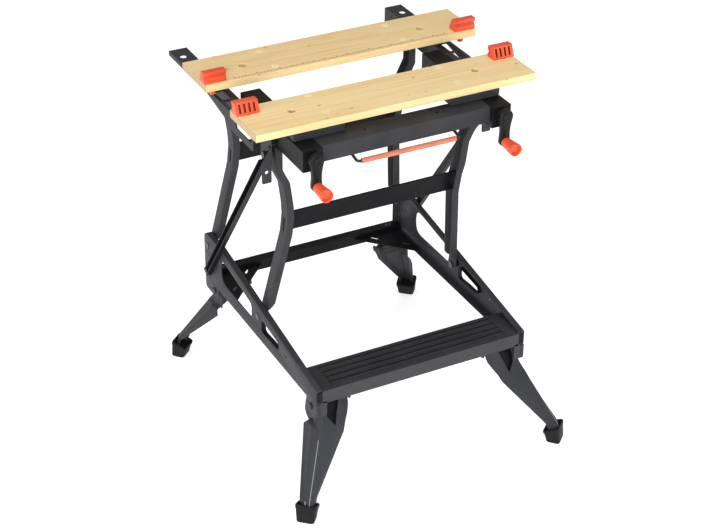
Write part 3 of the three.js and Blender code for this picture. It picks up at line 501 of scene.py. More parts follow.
class Finish(Enum):
    """Every finish on the bench."""

    # Charcoal paint; its painted light colour is a lighter grey, a painted highlight on the low part of the
    # legs' outer bends.
    PAINT = CoatFinish(
        "charcoal paint", (0.026, 0.0264, 0.0296), (0.042, 0.0428, 0.0476), (0.085, 0.087, 0.094),
        11.0, 1500.0, 0.06, (0.42, 0.56), specular=0.15, painted_light=(0.22, 0.22, 0.23))
    BLACK = CoatFinish(
        "black paint", (0.0045, 0.0047, 0.0055), (0.0085, 0.0088, 0.01), (0.035, 0.036, 0.04),
        11.0, 1500.0, 0.05, (0.36, 0.5), specular=0.12)
    TREAD = CoatFinish(
        "step paint", (0.0145, 0.0148, 0.0166), (0.025, 0.0256, 0.029), (0.08, 0.083, 0.09),
        16.0, 700.0, 0.16, (0.42, 0.58), scuffs=0.5)
    CAST = CoatFinish(
        "black crank moulding", (0.005, 0.005, 0.0054), (0.01, 0.01, 0.0107), (0.04, 0.04, 0.042),
        22.0, 1100.0, 0.06, (0.34, 0.46), specular=0.18)
    # Orange moulding; its painted light colour is a deep red, painted shade inside the dogs' slots.
    ORANGE = CoatFinish(
        "orange moulding", (0.66, 0.062, 0.016), (0.76, 0.092, 0.026), (0.82, 0.26, 0.15),
        24.0, 1300.0, 0.05, (0.32, 0.44), coat=0.1, painted_light=(0.26, 0.024, 0.01))
    SLEEVE = CoatFinish(
        "salmon sleeve", (0.52, 0.145, 0.078), (0.6, 0.19, 0.11), (0.78, 0.4, 0.28),
        30.0, 1000.0, 0.05, (0.36, 0.5))
    RUBBER = CoatFinish(
        "boot rubber", (0.006, 0.006, 0.0068), (0.0125, 0.0125, 0.014), (0.045, 0.045, 0.047),
        26.0, 800.0, 0.14, (0.5, 0.68), specular=0.16, scuffs=0.4)
    STEEL = CoatFinish(
        "blacked steel", (0.05, 0.05, 0.053), (0.1, 0.1, 0.105), (0.3, 0.3, 0.31),
        40.0, 1600.0, 0.03, (0.28, 0.42), metallic=0.9)
    PLUG = CoatFinish(
        "pale wood plug", (0.8, 0.64, 0.36), (0.88, 0.74, 0.46), (0.66, 0.48, 0.25),
        120.0, 900.0, 0.05, (0.5, 0.62), scuffs=0.2)
    INK = CoatFinish(
        "scale ink", (0.03, 0.022, 0.014), (0.07, 0.05, 0.03), (0.3, 0.2, 0.1),
        90.0, 1200.0, 0.02, (0.6, 0.7), scuffs=0.5)
    FRONT_PINE = PineFinish("front jaw pine", (0.0, -0.14, 0.69), (0.84, 0.645, 0.325), (0.72, 0.475, 0.2))
    REAR_PINE = PineFinish(
        "rear jaw pine", (0.1, 0.16, 0.66), (0.8, 0.6, 0.3), (0.68, 0.44, 0.18), ring_mm=6.0)


class FinishShelf:
    """Materials by finish, each built the first time it is asked for."""

    def __init__(self) -> None:
        """Start with no material."""
        self._made: dict[Finish, bpy.types.Material] = {}

    def __getitem__(self, finish: Finish) -> bpy.types.Material:
        """Return the finish's material, building it on first use."""
        if finish not in self._made:
            self._made[finish] = finish.value.material()
        return self._made[finish]


MATERIALS = FinishShelf()


def add_object(name: str, data: bpy.types.ID) -> bpy.types.Object:
    """Put a mesh, camera or lamp in the scene.

    Args:
        name: The object's name.
        data: What it shows.

    Returns:
        The object.
    """
    piece = bpy.data.objects.new(name, data)
    bpy.context.scene.collection.objects.link(piece)
    return piece


def settled(piece: bpy.types.Object) -> bpy.types.Mesh:
    """Take an object out of the scene.

    Args:
        piece: The object.

    Returns:
        The plain mesh that its modifiers made.
    """
    bpy.context.view_layer.update()
    graph = bpy.context.evaluated_depsgraph_get()
    mesh = bpy.data.meshes.new_from_object(piece.evaluated_get(graph))
    piece.modifiers.clear()
    bpy.data.objects.remove(piece)
    return mesh


def soften(piece: bpy.types.Object, edge_mm: float, segments: int = 2) -> None:
    """Soften the sharp edges of an object with a Bevel modifier.

    Args:
        piece: The object.
        edge_mm: Width of the softened edges.
        segments: Facets across each softened edge.
    """
    bevel = piece.modifiers.new("soft edges", "BEVEL")
    bevel.width = edge_mm * MM
    bevel.segments = segments
    bevel.limit_method = "ANGLE"
    bevel.angle_limit = math.radians(38)


def dress(node: str, finish: Finish, edge_mm: float, segments: int = 2) -> None:
    """Give a CAD node its finish and softened edges.

    Args:
        node: The node's name.
        finish: Finish that it takes.
        edge_mm: Width of the softened edges.
        segments: Facets across each softened edge.
    """
    piece = frame["nodes"][node]
    piece.data.materials.clear()
    piece.data.materials.append(MATERIALS[finish])
    piece.modifiers.new("weld", "WELD").merge_threshold = WELD
    soften(piece, edge_mm, segments)
    LOG.info("dressed %s in %s", node, finish.value.name)


def keep_mesh(
    name: str, mesh: bpy.types.Mesh, body: str, finish: Finish, smooth_deg: float = 35.0,
) -> bpy.types.Object:
    """Put a finished mesh in the scene as a piece.

    Args:
        name: The piece's name.
        mesh: Its mesh, already in place.
        body: CAD body that it moves with.
        finish: Finish that it takes.
        smooth_deg: Edges sharper than this stay sharp.

    Returns:
        The new piece.
    """
    mesh.name = name
    mesh.materials.clear()
    mesh.materials.append(MATERIALS[finish])
    mesh.shade_smooth()
    mesh.set_sharp_from_angle(angle=math.radians(smooth_deg))
    piece = add_object(name, mesh)
    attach(piece, body)
    LOG.info("made %s on %s", name, body)
    return piece


def mesh_of(shape: bmesh.types.BMesh, name: str) -> bpy.types.Mesh:
    """Turn a closed bmesh into a mesh with outward normals.

    Args:
        shape: The bmesh, freed here.
        name: The mesh's name.

    Returns:
        The mesh.
    """
    bmesh.ops.remove_doubles(shape, verts=shape.verts, dist=1e-7)
    bmesh.ops.recalc_face_normals(shape, faces=shape.faces)
    mesh = bpy.data.meshes.new(name)
    shape.to_mesh(mesh)
    shape.free()
    return mesh


def skinned(
    name: str, bodies: Iterable[Sequence[Sequence[Point]]], closed: bool = False,
) -> bpy.types.Mesh:
    """Skin closed bodies, each over a row of rings that have equal numbers of points.

    Args:
        name: The mesh's name.
        bodies: One row of rings for each body.
        closed: Join the last ring of a row to its first instead of capping both.

    Returns:
        The mesh.
    """
    shape = bmesh.new()
    for rings in bodies:
        rows = [[shape.verts.new(point) for point in ring] for ring in rings]
        count = len(rows[0])
        for low, high in zip(rows, rows[1:] + rows[:1] if closed else rows[1:]):
            for i in range(count):
                j = (i + 1) % count
                shape.faces.new((low[i], low[j], high[j], high[i]))
        if not closed:
            shape.faces.new(rows[0][::-1])
            shape.faces.new(rows[-1])
    return mesh_of(shape, name)


def carved(body: bpy.types.Mesh, tool: bpy.types.Mesh, edge_mm: float = 0.0) -> bpy.types.Mesh:
    """Cut one closed mesh out of another.

    Args:
        body: Mesh that is cut.
        tool: Mesh that is taken away.
        edge_mm: Width of the softened edges, none at 0.

    Returns:
        The plain mesh that is left.
    """
    block, cutter = (add_object(mesh.name, mesh) for mesh in (body, tool))
    cut = block.modifiers.new("cut", "BOOLEAN")
    cut.object = cutter
    cut.operation = "DIFFERENCE"
    cut.solver = "EXACT"
    if edge_mm:
        soften(block, edge_mm)
    mesh = settled(block)
    bpy.data.objects.remove(cutter)
    return mesh


def cad_mesh(node: str) -> bpy.types.Mesh:
    """Return a closed copy of a CAD node's mesh, in place.

    Args:
        node: The node's name.

    Returns:
        The copy.
    """
    piece = frame["nodes"][node]
    shape = bmesh.new()
    shape.from_mesh(piece.data)
    shape.transform(piece.matrix_world)
    bmesh.ops.remove_doubles(shape, verts=shape.verts, dist=WELD)
    return mesh_of(shape, node)


def merged(meshes: Iterable[bpy.types.Mesh], name: str) -> bpy.types.Mesh:
    """Put several meshes into one.

    Args:
        meshes: The meshes.
        name: Name of the new mesh.

    Returns:
        The new mesh.
    """
    shape = bmesh.new()
    for mesh in meshes:
        shape.from_mesh(mesh)
    return mesh_of(shape, name)


def mark_faces(mesh: bpy.types.Mesh, chosen: Callable[[bpy.types.MeshPolygon], bool]) -> None:
    """Mark the faces that take a finish's painted light colour.

    Args:
        mesh: The mesh.
        chosen: Says whether a face takes the painted light colour.
    """
    painted_light = mesh.attributes.new(PAINTED_LIGHT, "FLOAT", "FACE")
    for polygon in mesh.polygons:
        painted_light.data[polygon.index].value = float(chosen(polygon))


def rounded_line(corners: Sequence[Vector], radius: float, steps: int) -> list[Vector]:
    """Round the inner corners of a line.

    Args:
        corners: The line's corners.
        radius: Length that each bend takes from its two sides.
        steps: Segments of each bend.

    Returns:
        Points of the line.
    """
    line = [corners[0]]
    for before, here, after in zip(corners, corners[1:], corners[2:]):
        ends = []
        for other in (before, after):
            way = other - here
            ends.append(here + way.normalized() * min(radius, 0.45 * way.length))
        for i in range(steps + 1):
            t = i / steps
            line.append(ends[0] * (1 - t) ** 2 + here * 2 * t * (1 - t) + ends[1] * t ** 2)
    return line + [corners[-1]]


def headings(line: Sequence[Vector]) -> list[Vector]:
    """Return the direction of a line at each of its points."""
    last = len(line) - 1
    return [(line[min(i + 1, last)] - line[max(i - 1, 0)]).normalized() for i in range(last + 1)]


def circle(count: int) -> list[Pair]:
    """Return the cosine and sine of equal steps round a circle."""
    angles = [2 * math.pi * i / count for i in range(count)]
    return [(math.cos(angle), math.sin(angle)) for angle in angles]


def ring_y(
    centre: Sequence[float], radius_mm: float, y: float, sides: int, wave_mm: float = 0.0, lobes: int = 0,
) -> list[Point]:
    """Return a ring of points round the Y direction.

    Args:
        centre: Point that gives the ring's x and z.
        radius_mm: The ring's radius.
        y: Its place along Y.
        sides: Number of points.
        wave_mm: Depth of the flutes.
        lobes: Number of flutes.

    Returns:
        The points in order.
    """
    points = []
    for i, (across, up) in enumerate(circle(sides)):
        flute = 0.5 + 0.5 * math.cos(lobes * 2 * math.pi * i / sides)
        reach = (radius_mm - wave_mm * flute) * MM
        points.append((centre[0] + reach * across, y, centre[2] + reach * up))
    return points


def tube(points: Sequence[Point], radius: float, sides: int) -> bpy.types.Mesh:
    """Return a round closed tube along a line of points.

    Args:
        points: The centre line.
        radius: The tube's radius.
        sides: Sides of its section.

    Returns:
        The tube's mesh.
    """
    line = [Vector(point) for point in points]
    rings = []
    across = Vector((0.0, 0.0, 1.0))
    for here, heading in zip(line, headings(line)):
        side = heading.cross(across).normalized()
        across = side.cross(heading).normalized()
        rings.append([tuple(here + radius * (c * side + s * across)) for c, s in circle(sides)])
    return skinned("tube", [rings])


class DetailTool(NodeGroup):
    """Geometry Nodes tree with named inputs that makes one kind of repeated detail."""

    def __init__(self, name: str, inputs: Sequence[Socket]) -> None:
        """Make the tree and its sockets.

        Args:
            name: The tree's name.
            inputs: Inputs besides the geometry and the material, sizes in metres.
        """
        geometry = Socket("Geometry", Kind.GEOMETRY)
        all_inputs = [geometry, *inputs, Socket("Material", Kind.MATERIAL)]
        super().__init__(name, "GeometryNodeTree", all_inputs, [geometry])
        self.tree.is_modifier = True

    def end(self, geometry: bpy.types.NodeSocket) -> None:
        """Finish the tree with Realize Instances and Set Material.

        Args:
            geometry: Socket of the geometry so far.
        """
        real = self.add("GeometryNodeRealizeInstances", {"Geometry": geometry}).outputs[0]
        inputs = {"Geometry": real, "Material": self.given["Material"]}
        self.fill(self.out, {0: self.add("GeometryNodeSetMaterial", inputs).outputs[0]})

    def grow(self, finish: Finish, places: Sequence[Point] = (), **values: object) -> bpy.types.Mesh:
        """Run the tree.

        Args:
            finish: Finish of what it makes.
            places: Points that it starts from.
            values: Other input values by name.

        Returns:
            The plain mesh that comes out.
        """
        seed = bpy.data.meshes.new("seed")
        seed.from_pydata(places, [], [])
        host = add_object("host", seed)
        modifier = host.modifiers.new("grow", "NODES")
        modifier.node_group = self.tree
        for name, value in {**values, "Material": MATERIALS[finish]}.items():
            modifier[self.ids[name]] = value
        return settled(host)


class RivetTool(DetailTool):
    """Domed rivet heads, or flat plugs, that face up."""

    def __init__(self) -> None:
        """Build the tree."""
        sizes = [Socket("Radius", Kind.NUMBER, 0.004), Socket("Height", Kind.NUMBER, 0.0015)]
        super().__init__("Rivet Heads", sizes)
        radius = self.given["Radius"]
        ball = self.add("GeometryNodeMeshUVSphere", {"Segments": 20, "Rings": 10, "Radius": radius})
        scale = self.combined(X=1.0, Y=1.0, Z=self.math("DIVIDE", self.given["Height"], radius))
        dome = self.add("GeometryNodeTransform", {"Geometry": ball.outputs["Mesh"], "Scale": scale})
        inputs = {"Points": self.given["Geometry"], "Instance": dome.outputs[0]}
        self.end(self.add("GeometryNodeInstanceOnPoints", inputs).outputs[0])


class TickTool(DetailTool):
    """Row of scale ticks along X, with a longer tick at every tenth and a middling one at every fifth."""

    growth = 0.55
    thickness = 0.00012

    def __init__(self) -> None:
        """Build the tree."""
        super().__init__("Scale Ticks", [
            Socket("Count", Kind.COUNT, 101),
            Socket("Start", Kind.VECTOR),
            Socket("Pitch", Kind.NUMBER, 0.005),
            Socket("Length", Kind.NUMBER, 0.004),
            Socket("Width", Kind.NUMBER, 0.0006),
        ])
        given, length = self.given, self.given["Length"]
        row = self.add("GeometryNodeMeshLine", {
            "Count": given["Count"], "Start Location": given["Start"],
            "Offset": self.combined(X=given["Pitch"]),
        })
        number = self.add("GeometryNodeInputIndex").outputs[0]
        tenth, fifth = (
            self.math("COMPARE", self.math("MODULO", number, every), 0.0, 0.1) for every in (10.0, 5.0))
        grown = self.math("ADD", 1.0, self.math("MULTIPLY", self.math("ADD", tenth, fifth), self.growth))
        size = self.combined(X=given["Width"], Y=length, Z=self.thickness)
        mark = self.add("GeometryNodeMeshCube", {"Size": size})
        forward = self.combined(Y=self.math("MULTIPLY", length, 0.5))
        stood = self.add("GeometryNodeTransform", {"Geometry": mark.outputs["Mesh"], "Translation": forward})
        inputs = {
            "Points": row.outputs[0], "Instance": stood.outputs[0],
            "Scale": self.combined(X=1.0, Y=grown, Z=1.0),
        }
        self.end(self.add("GeometryNodeInstanceOnPoints", inputs).outputs[0])


class ThreadTool(DetailTool):
    """Threaded rod along Y: a core and a helical ridge."""

    def __init__(self) -> None:
        """Build the tree."""
        super().__init__("Screw Thread", [
            Socket("Start", Kind.VECTOR),
            Socket("Length", Kind.NUMBER, 0.28),
            Socket("Radius", Kind.NUMBER, 0.006),
            Socket("Lead", Kind.NUMBER, 0.006),
            Socket("Ridge", Kind.NUMBER, 0.0011),
        ])
        length, ridge = self.given["Length"], self.given["Ridge"]
        inner = self.math("SUBTRACT", self.given["Radius"], ridge)
        helix = self.add("GeometryNodeCurveSpiral", {
            "Resolution": 18, "Rotations": self.math("DIVIDE", length, self.given["Lead"]),
            "Start Radius": inner, "End Radius": inner, "Height": length,
        })
        section = self.add("GeometryNodeCurvePrimitiveCircle", {"Resolution": 6, "Radius": ridge})
        sweep = self.add("GeometryNodeCurveToMesh", {
            "Curve": helix.outputs[0], "Profile Curve": section.outputs["Curve"], "Fill Caps": True,
        })
        core = self.add("GeometryNodeMeshCylinder", {"Vertices": 24, "Radius": inner, "Depth": length})
        lift = self.combined(Z=self.math("MULTIPLY", length, 0.5))
        raised = self.add("GeometryNodeTransform", {"Geometry": core.outputs["Mesh"], "Translation": lift})
        both = self.add("GeometryNodeJoinGeometry")
        for part in (sweep, raised):
            self.fill(both, {0: part.outputs[0]})
        laid = self.add("GeometryNodeTransform", {
            "Geometry": both.outputs[0], "Rotation": (-math.pi / 2, 0.0, 0.0),
            "Translation": self.given["Start"],
        })
        self.end(laid.outputs[0])


@dataclass
class BaseFrame:
    """Side arms, step, rear crossbar and the pins of the base."""

    edge_mm: float = 0.6
    pin_edge_mm: float = 0.3
    pins: tuple[tuple[str, Finish], ...] = (
        ("front_pivot", Finish.STEEL), ("rear_pivot", Finish.STEEL), ("brace", Finish.STEEL),
        ("front_leg", Finish.PAINT), ("rear_leg", Finish.PAINT),
    )
    slot: Outline = ((-95, 246), (-95, 264), (-11, 273), (-11, 243))
    slot_bend_mm: float = 9.0
    slot_span_mm: Pair = (234.0, 246.0)
    collar_span_mm: Pair = (240.5, 230.9)
    collar_wall_mm: float = 1.2
    ear: Outline = ((217.5, 226), (217.5, 194), (218.7, 191.2), (221.5, 190), (231.4, 190), (231.4, 226))
    ear_depth_mm: Pair = (0.0, 1.7)
    # Black plate at the step's end, painted shade for the slit between step and arm.
    end: Outline = ((227.6, 227), (238.6, 227), (238.6, 247), (235.6, 250), (227.6, 250))
    end_depth_mm: Pair = (-0.4, 4.0)
    rib_count: int = 4
    rib_height_mm: float = 1.6
    rib_margin_mm: float = 36.0
    # Spans of the rib tops' painted highlight and of the painted shadow behind each rib.
    highlight_span_mm: Pair = (-2.4, 2.4)
    shadow_span_mm: Pair = (3.2, 8.4)
    mark_depth_mm: Pair = (-0.2, 0.12)
    rivet_radius_mm: float = 4.5
    rivet_height_mm: float = 1.6
    rivet_reach_mm: Pair = (205.0, 214.0)
    rivet_setback_mm: float = 12.0

    def build(self, rivets: RivetTool) -> None:
        """Dress the base and set its rivets.

        Args:
            rivets: Tool that makes rivet heads.
        """
        for side in Side:
            self._arm(side)
            for pin, finish in self.pins:
                dress(f"{pin}_pin_{side.value}", finish, self.pin_edge_mm)
        dress("step_tread", Finish.TREAD, self.edge_mm)
        dress("rear_crossbar", Finish.BLACK, self.edge_mm)
        self._crossbar_rivets(rivets)
        for side in Side:
            self._step_plate("step_ear", side, Finish.TREAD, self.ear, self.ear_depth_mm)
            # Painted shade: a black plate where the slit between the step's end and the arm is in shade.
            self._step_plate("step_seam_shade", side, Finish.BLACK, self.end, self.end_depth_mm)
        # Painted highlight: strips of the lighter paint on the rib tops.
        self._rib_marks("step_rib_highlight", Finish.PAINT, 0.0, self.highlight_span_mm)
        # Painted shadow: black strips on the tread behind each rib.
        self._rib_marks("step_rib_shadow", Finish.BLACK, self.rib_height_mm, self.shadow_span_mm)

    def _arm(self, side: Side) -> None:
        """Make one side arm with its front slot pressed inwards.

        Args:
            side: Side of the bench.
        """
        node = f"side_arm_{side.value}"
        corners = [Vector((0.0, y, z)) for y, z in self.slot]
        start = (corners[0] + corners[-1]) / 2
        loop = rounded_line([start, *corners, start], self.slot_bend_mm, 6)[:-1]
        middle = sum(corners, Vector()) / len(corners)
        inner = [point + (middle - point).normalized() * self.collar_wall_mm for point in loop]

        def ring(line: Sequence[Vector], x: float) -> list[Point]:
            """Return a line of the slot at one distance from the bench's middle."""
            return [(side.sign * x * MM, point.y * MM, point.z * MM) for point in line]

        tool = skinned("slot", [[ring(loop, x) for x in self.slot_span_mm]])
        mesh = carved(cad_mesh(node), tool, self.edge_mm)
        piece = keep_mesh(f"pressed_arm_{side.value}", mesh, "base", Finish.PAINT)
        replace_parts(piece, node)
        outer_x, inner_x = self.collar_span_mm
        # The collar lines the pressed slot; its black paint is painted shade on the collar's wall.
        rings = [ring(loop, outer_x), ring(loop, inner_x), ring(inner, inner_x), ring(inner, outer_x)]
        collar = skinned("collar", [rings], closed=True)
        keep_mesh(f"slot_collar_{side.value}", collar, "base", Finish.BLACK)

    @staticmethod
    def _step_plate(name: str, side: Side, finish: Finish, outline: Outline, depth_mm: Pair) -> None:
        """Put one flat plate on the front of the step's end.

        Args:
            name: The piece's name.
            side: Side of the bench.
            finish: Finish of the plate.
            outline: Its corners in x and z, in millimetres.
            depth_mm: Its front and back, counted from the step's front.
        """
        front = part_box("step_tread")[0].y
        rings = [[(side.sign * x * MM, front + back * MM, z * MM) for x, z in outline] for back in depth_mm]
        keep_mesh(f"{name}_{side.value}", skinned(name, [rings]), "base", finish)

    def _rib_marks(self, name: str, finish: Finish, sunk_mm: float, span_mm: Pair) -> None:
        """Lay one thin strip along each rib of the step: painted highlight on the rib tops, painted shadow
        behind the ribs.

        Args:
            name: The piece's name.
            finish: Finish of the strips.
            sunk_mm: Depth below the tops of the ribs.
            span_mm: Front and rear edge of a strip, counted from the middle of its rib.
        """
        low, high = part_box("step_tread")
        reach = high.x - self.rib_margin_mm * MM
        strips = []
        for i in range(self.rib_count):
            middle = low.y + (high.y - low.y) * (i + 1) / (self.rib_count + 1)
            near, far = (middle + edge * MM for edge in span_mm)
            slant = (far - near) / 2
            outline = [(-reach, near + slant), (-reach + slant, near), (reach - slant, near)]
            outline += [(reach, near + slant), (reach - slant, far), (-reach + slant, far)]
            levels = [high.z + (rise - sunk_mm) * MM for rise in self.mark_depth_mm]
            strips.append([[(x, y, z) for x, y in outline] for z in levels])
        keep_mesh(name, skinned(name, strips), "base", finish)

    def _crossbar_rivets(self, rivets: RivetTool) -> None:
        """Set rivet heads on the ends of the crossbar.

        Args:
            rivets: Tool that makes rivet heads.
        """
        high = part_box("rear_crossbar")[1]
        y = high.y - self.rivet_setback_mm * MM
        spots = [(side.sign * x * MM, y, high.z) for side in Side for x in self.rivet_reach_mm]
        mesh = rivets.grow(
            Finish.STEEL, spots, Radius=self.rivet_radius_mm * MM, Height=self.rivet_height_mm * MM)
        keep_mesh("crossbar_rivets", mesh, "base", Finish.STEEL)


@dataclass(frozen=True)
class LegCut:
    """Section of the front right leg at one height: x and y of its corners, in millimetres."""

    z: float
    flange: Pair
    bend: Pair
    crease: Pair
    lip: Pair


@dataclass(frozen=True)
class BootCut:
    """Section of a boot: height, tilt, place along the splay and half sizes, in millimetres."""

    z: float
    tilt: float
    centre: float
    along: float
    across: float


@dataclass
class Legs:
    """Four fold-away legs of folded sheet and their boots."""

    sheet_mm: float = 2.2
    bend_mm: float = 5.0
    smooth_deg: float = 40.0
    rib_mm: float = 1.5
    ribs: Outline = ((0.34, 0.0), (0.42, 1.0), (0.54, 1.0), (0.62, 0.0))
    bore_mm: float = 4.4
    bore_span_mm: Pair = (140, 238)
    # Where the painted highlight lies: how squarely a face turns outwards on the bend, and the height below
    # which it is painted.
    highlight_bend: float = 0.55
    highlight_below_mm: float = 112.0
    splay: Pair = (0.664, -0.748)
    boot_corner_mm: float = 6.0
    root_mm: float = -229.0
    rear_reach_mm: float = -224.0
    # Black plates behind each notch and relief slot, painted shade: depth behind the web, insets and rows.
    hem_mm: float = 1.5
    liner_depth_mm: Pair = (8.0, 9.6)
    liner_inset_mm: Pair = (3.0, 5.0)
    liner_rows: int = 7
    backing: Outline = ((-240, 180), (-199, 180), (-199, 158), (-216, 146), (-240, 146))
    backing_span_mm: Pair = (229.4, 231.2)
    notch: Outline = ((217, 219), (184, 219), (203, 168), (217, 186))
    notch_span_mm: Pair = (-310, -252)
    cuts: tuple[LegCut, ...] = (
        LegCut(214, (228, -209), (228, -256), (186, -257), (160, -240)),
        LegCut(196, (232, -204), (229, -264.5), (187.5, -265.5), (161.5, -250.5)),
        LegCut(189, (233, -203), (230.5, -266.5), (189, -267.5), (163.5, -255)),
        LegCut(178, (233.6, -202), (234.5, -273), (193.5, -274), (170, -264)),
        LegCut(166.4, (233.8, -201), (239.8, -279.8), (198.8, -280.8), (177.8, -271.8)),
        LegCut(166, (234, -231), (240, -280), (199, -281), (178, -272)),
        LegCut(161.4, (243.7, -231), (242.2, -282.2), (201.3, -283.2), (180.3, -274.8)),
        LegCut(161, (244, -229.5), (242.4, -282.4), (201.5, -283.4), (180.5, -275)),
        LegCut(150, (246, -220), (247, -288), (207, -289), (186, -281)),
        LegCut(46, (302, -315), (293.5, -342), (284, -342.5), (270, -330)),
        LegCut(12, (304, -323), (297, -347), (291, -347.5), (281, -337)),
    )
    boot_cuts: tuple[BootCut, ...] = (
        BootCut(0, 0.0, 443, 13, 16.4),
        BootCut(1.5, 0.0, 443, 14.7, 18.2),
        BootCut(5, 0.04, 443, 15.2, 18.8),
        BootCut(5.6, 0.04, 443, 14.5, 18.1),
        BootCut(7, 0.06, 443, 14.5, 18.1),
        BootCut(7.6, 0.07, 442.5, 15.3, 19),
        BootCut(19, 0.22, 440.6, 15.8, 20.2),
        BootCut(27, 0.33, 438.8, 16.2, 20.9),
        BootCut(28, 0.34, 438.6, 17.2, 22),
        BootCut(34, 0.42, 437.4, 17, 22.2),
        BootCut(35, 0.42, 437.4, 16, 21.2),
        BootCut(35, 0.42, 437.4, 14.4, 19.6),
        BootCut(30, 0.36, 438.4, 14.2, 19.4),
    )
    hinges: dict[Place, Vector] = field(init=False)

    def __post_init__(self) -> None:
        """Find the middles of the right legs' pins, in millimetres."""
        boxes = {place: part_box(f"{place.value}_leg_pin_right") for place in Place}
        self.hinges = {place: (low + high) / 2 / MM for place, (low, high) in boxes.items()}

    def build(self) -> None:
        """Make the legs and their boots."""
        for corner in CORNERS:
            self._leg(corner)
            self._liner(corner)
            self._boot(corner)

    def _placed(self, corner: Corner, x: float, y: float, z: float) -> Point:
        """Carry a point of the front right leg to another leg.

        Args:
            corner: The leg's corner.
            x: The point's x in millimetres.
            y: Its y.
            z: Its z.

        Returns:
            The point in metres.
        """
        if corner.place is Place.REAR:
            y = self.hinges[Place.FRONT].y + self.hinges[Place.REAR].y - y
        return (corner.side.sign * x * MM, y * MM, z * MM)

    def _across(self, corner: Corner, outline: Iterable[Pair], span_mm: Pair) -> list[list[Point]]:
        """Return both ends of a straight body that lies across a leg, its outline given in y and z."""
        return [[self._placed(corner, x, y, z) for y, z in outline] for x in span_mm]

    def _section(self, cut: LegCut, place: Place) -> list[Vector]:
        """Return the closed outline of the folded sheet at one height.

        Args:
            cut: The section's corners.
            place: End of the bench, the rear legs having the shorter outer flange.

        Returns:
            The outline's points in x and y.
        """
        bend = Vector(cut.bend)
        root = Vector((cut.flange[0], min(cut.flange[1] - self.hem_mm, self.root_mm)))
        reach = cut.flange[1] if place is Place.FRONT else min(cut.flange[1], self.rear_reach_mm)
        way = (bend - root).normalized()
        out = Vector((-way.y, way.x)) * self.rib_mm
        line = [Vector((cut.flange[0], reach)), root]
        line += [root.lerp(bend, share) + out * lift for share, lift in self.ribs]
        corners = [root.lerp(bend, self.ribs[-1][0]), bend, Vector(cut.crease), Vector(cut.lip)]
        line += rounded_line(corners, self.bend_mm, 5)[1:]
        turns = zip(line, headings(line))
        inside = [here + Vector((way.y, -way.x)) * self.sheet_mm for here, way in turns]
        return line + inside[::-1]

    def _leg(self, corner: Corner) -> None:
        """Make one leg with its notched web and the pin's bore.

        Args:
            corner: The leg's corner.
        """
        node = corner.named("leg")
        sections = [(cut.z, self._section(cut, corner.place)) for cut in self.cuts]
        rings = [[self._placed(corner, *point, z) for point in outline] for z, outline in sections]
        notch = [[self._placed(corner, x, y, z) for x, z in self.notch] for y in self.notch_span_mm]
        hinge = self.hinges[Place.FRONT]
        bore = [(hinge.y + self.bore_mm * c, hinge.z + self.bore_mm * s) for c, s in circle(24)]
        tool = skinned("notch", [notch, self._across(corner, bore, self.bore_span_mm)])
        mesh = carved(skinned(node, [rings]), tool)
        facing = -1 if corner.place is Place.FRONT else 1

        # Painted highlight: faces on the low part of the outer bend take the paint's lighter grey, standing in
        # for the light caught along the bend.
        def worn(face: bpy.types.MeshPolygon) -> bool:
            """Say whether a face lies on the low part of the outer bend, where the painted highlight goes."""
            bent = min(corner.side.sign * face.normal.x, facing * face.normal.y) > self.highlight_bend
            return bent and face.center.z < self.highlight_below_mm * MM

        mark_faces(mesh, worn)
        piece = keep_mesh(f"folded_{node}", mesh, node, Finish.PAINT, self.smooth_deg)
        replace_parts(piece, node)

    def _liner(self, corner: Corner) -> None:
        """Put the stiffening plate, in black paint as painted shade, behind a leg's notch, and behind a front
        leg's relief slot.

        Args:
            corner: The leg's corner.
        """
        node = corner.named("leg")
        near, far = self.liner_depth_mm
        rings = []
        for cut in self.cuts[:self.liner_rows]:
            ends = [(x - inset, y) for (x, y), inset in zip((cut.bend, cut.crease), self.liner_inset_mm)]
            plate = [(x, y + near) for x, y in ends] + [(x, y + far) for x, y in reversed(ends)]
            rings.append([self._placed(corner, x, y, cut.z) for x, y in plate])
        bodies = [rings]
        if corner.place is Place.FRONT:
            bodies.append(self._across(corner, self.backing, self.backing_span_mm))
        # Painted shade: the plates take black paint, standing in for the shade behind the notch and the relief
        # slot.
        keep_mesh(f"liner_{node}", skinned(node, bodies), node, Finish.BLACK)

    def _boot(self, corner: Corner) -> None:
        """Make one boot: a cap that leans with its leg, with a rolled rim and a groove above the sole.

        Args:
            corner: The leg's corner.
        """
        node = corner.named("foot")
        rings = []
        for cut in self.boot_cuts:
            ring = []
            for along, across in self._rounded(cut.along, cut.across):
                reach = cut.centre + along
                x = self.splay[0] * reach - self.splay[1] * across
                y = self.splay[1] * reach + self.splay[0] * across
                ring.append(self._placed(corner, x, y, cut.z + cut.tilt * along))
            rings.append(ring)
        name = f"boot_{corner.place.value}_{corner.side.value}"
        piece = keep_mesh(name, skinned(node, [rings]), corner.named("leg"), Finish.RUBBER)
        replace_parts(piece, node)

    def _rounded(self, along: float, across: float) -> list[Pair]:
        """Return a rounded rectangle about the origin.

        Args:
            along: Half its length.
            across: Half its width.

        Returns:
            The outline's points.
        """
        back = self.boot_corner_mm
        points = []
        for quarter, (right, up) in enumerate(((1, 1), (-1, 1), (-1, -1), (1, -1))):
            for i in range(5):
                angle = quarter * math.pi / 2 + i * math.pi / 8
                x, y = right * (along - back), up * (across - back)
                points.append((x + back * math.cos(angle), y + back * math.sin(angle)))
        return points


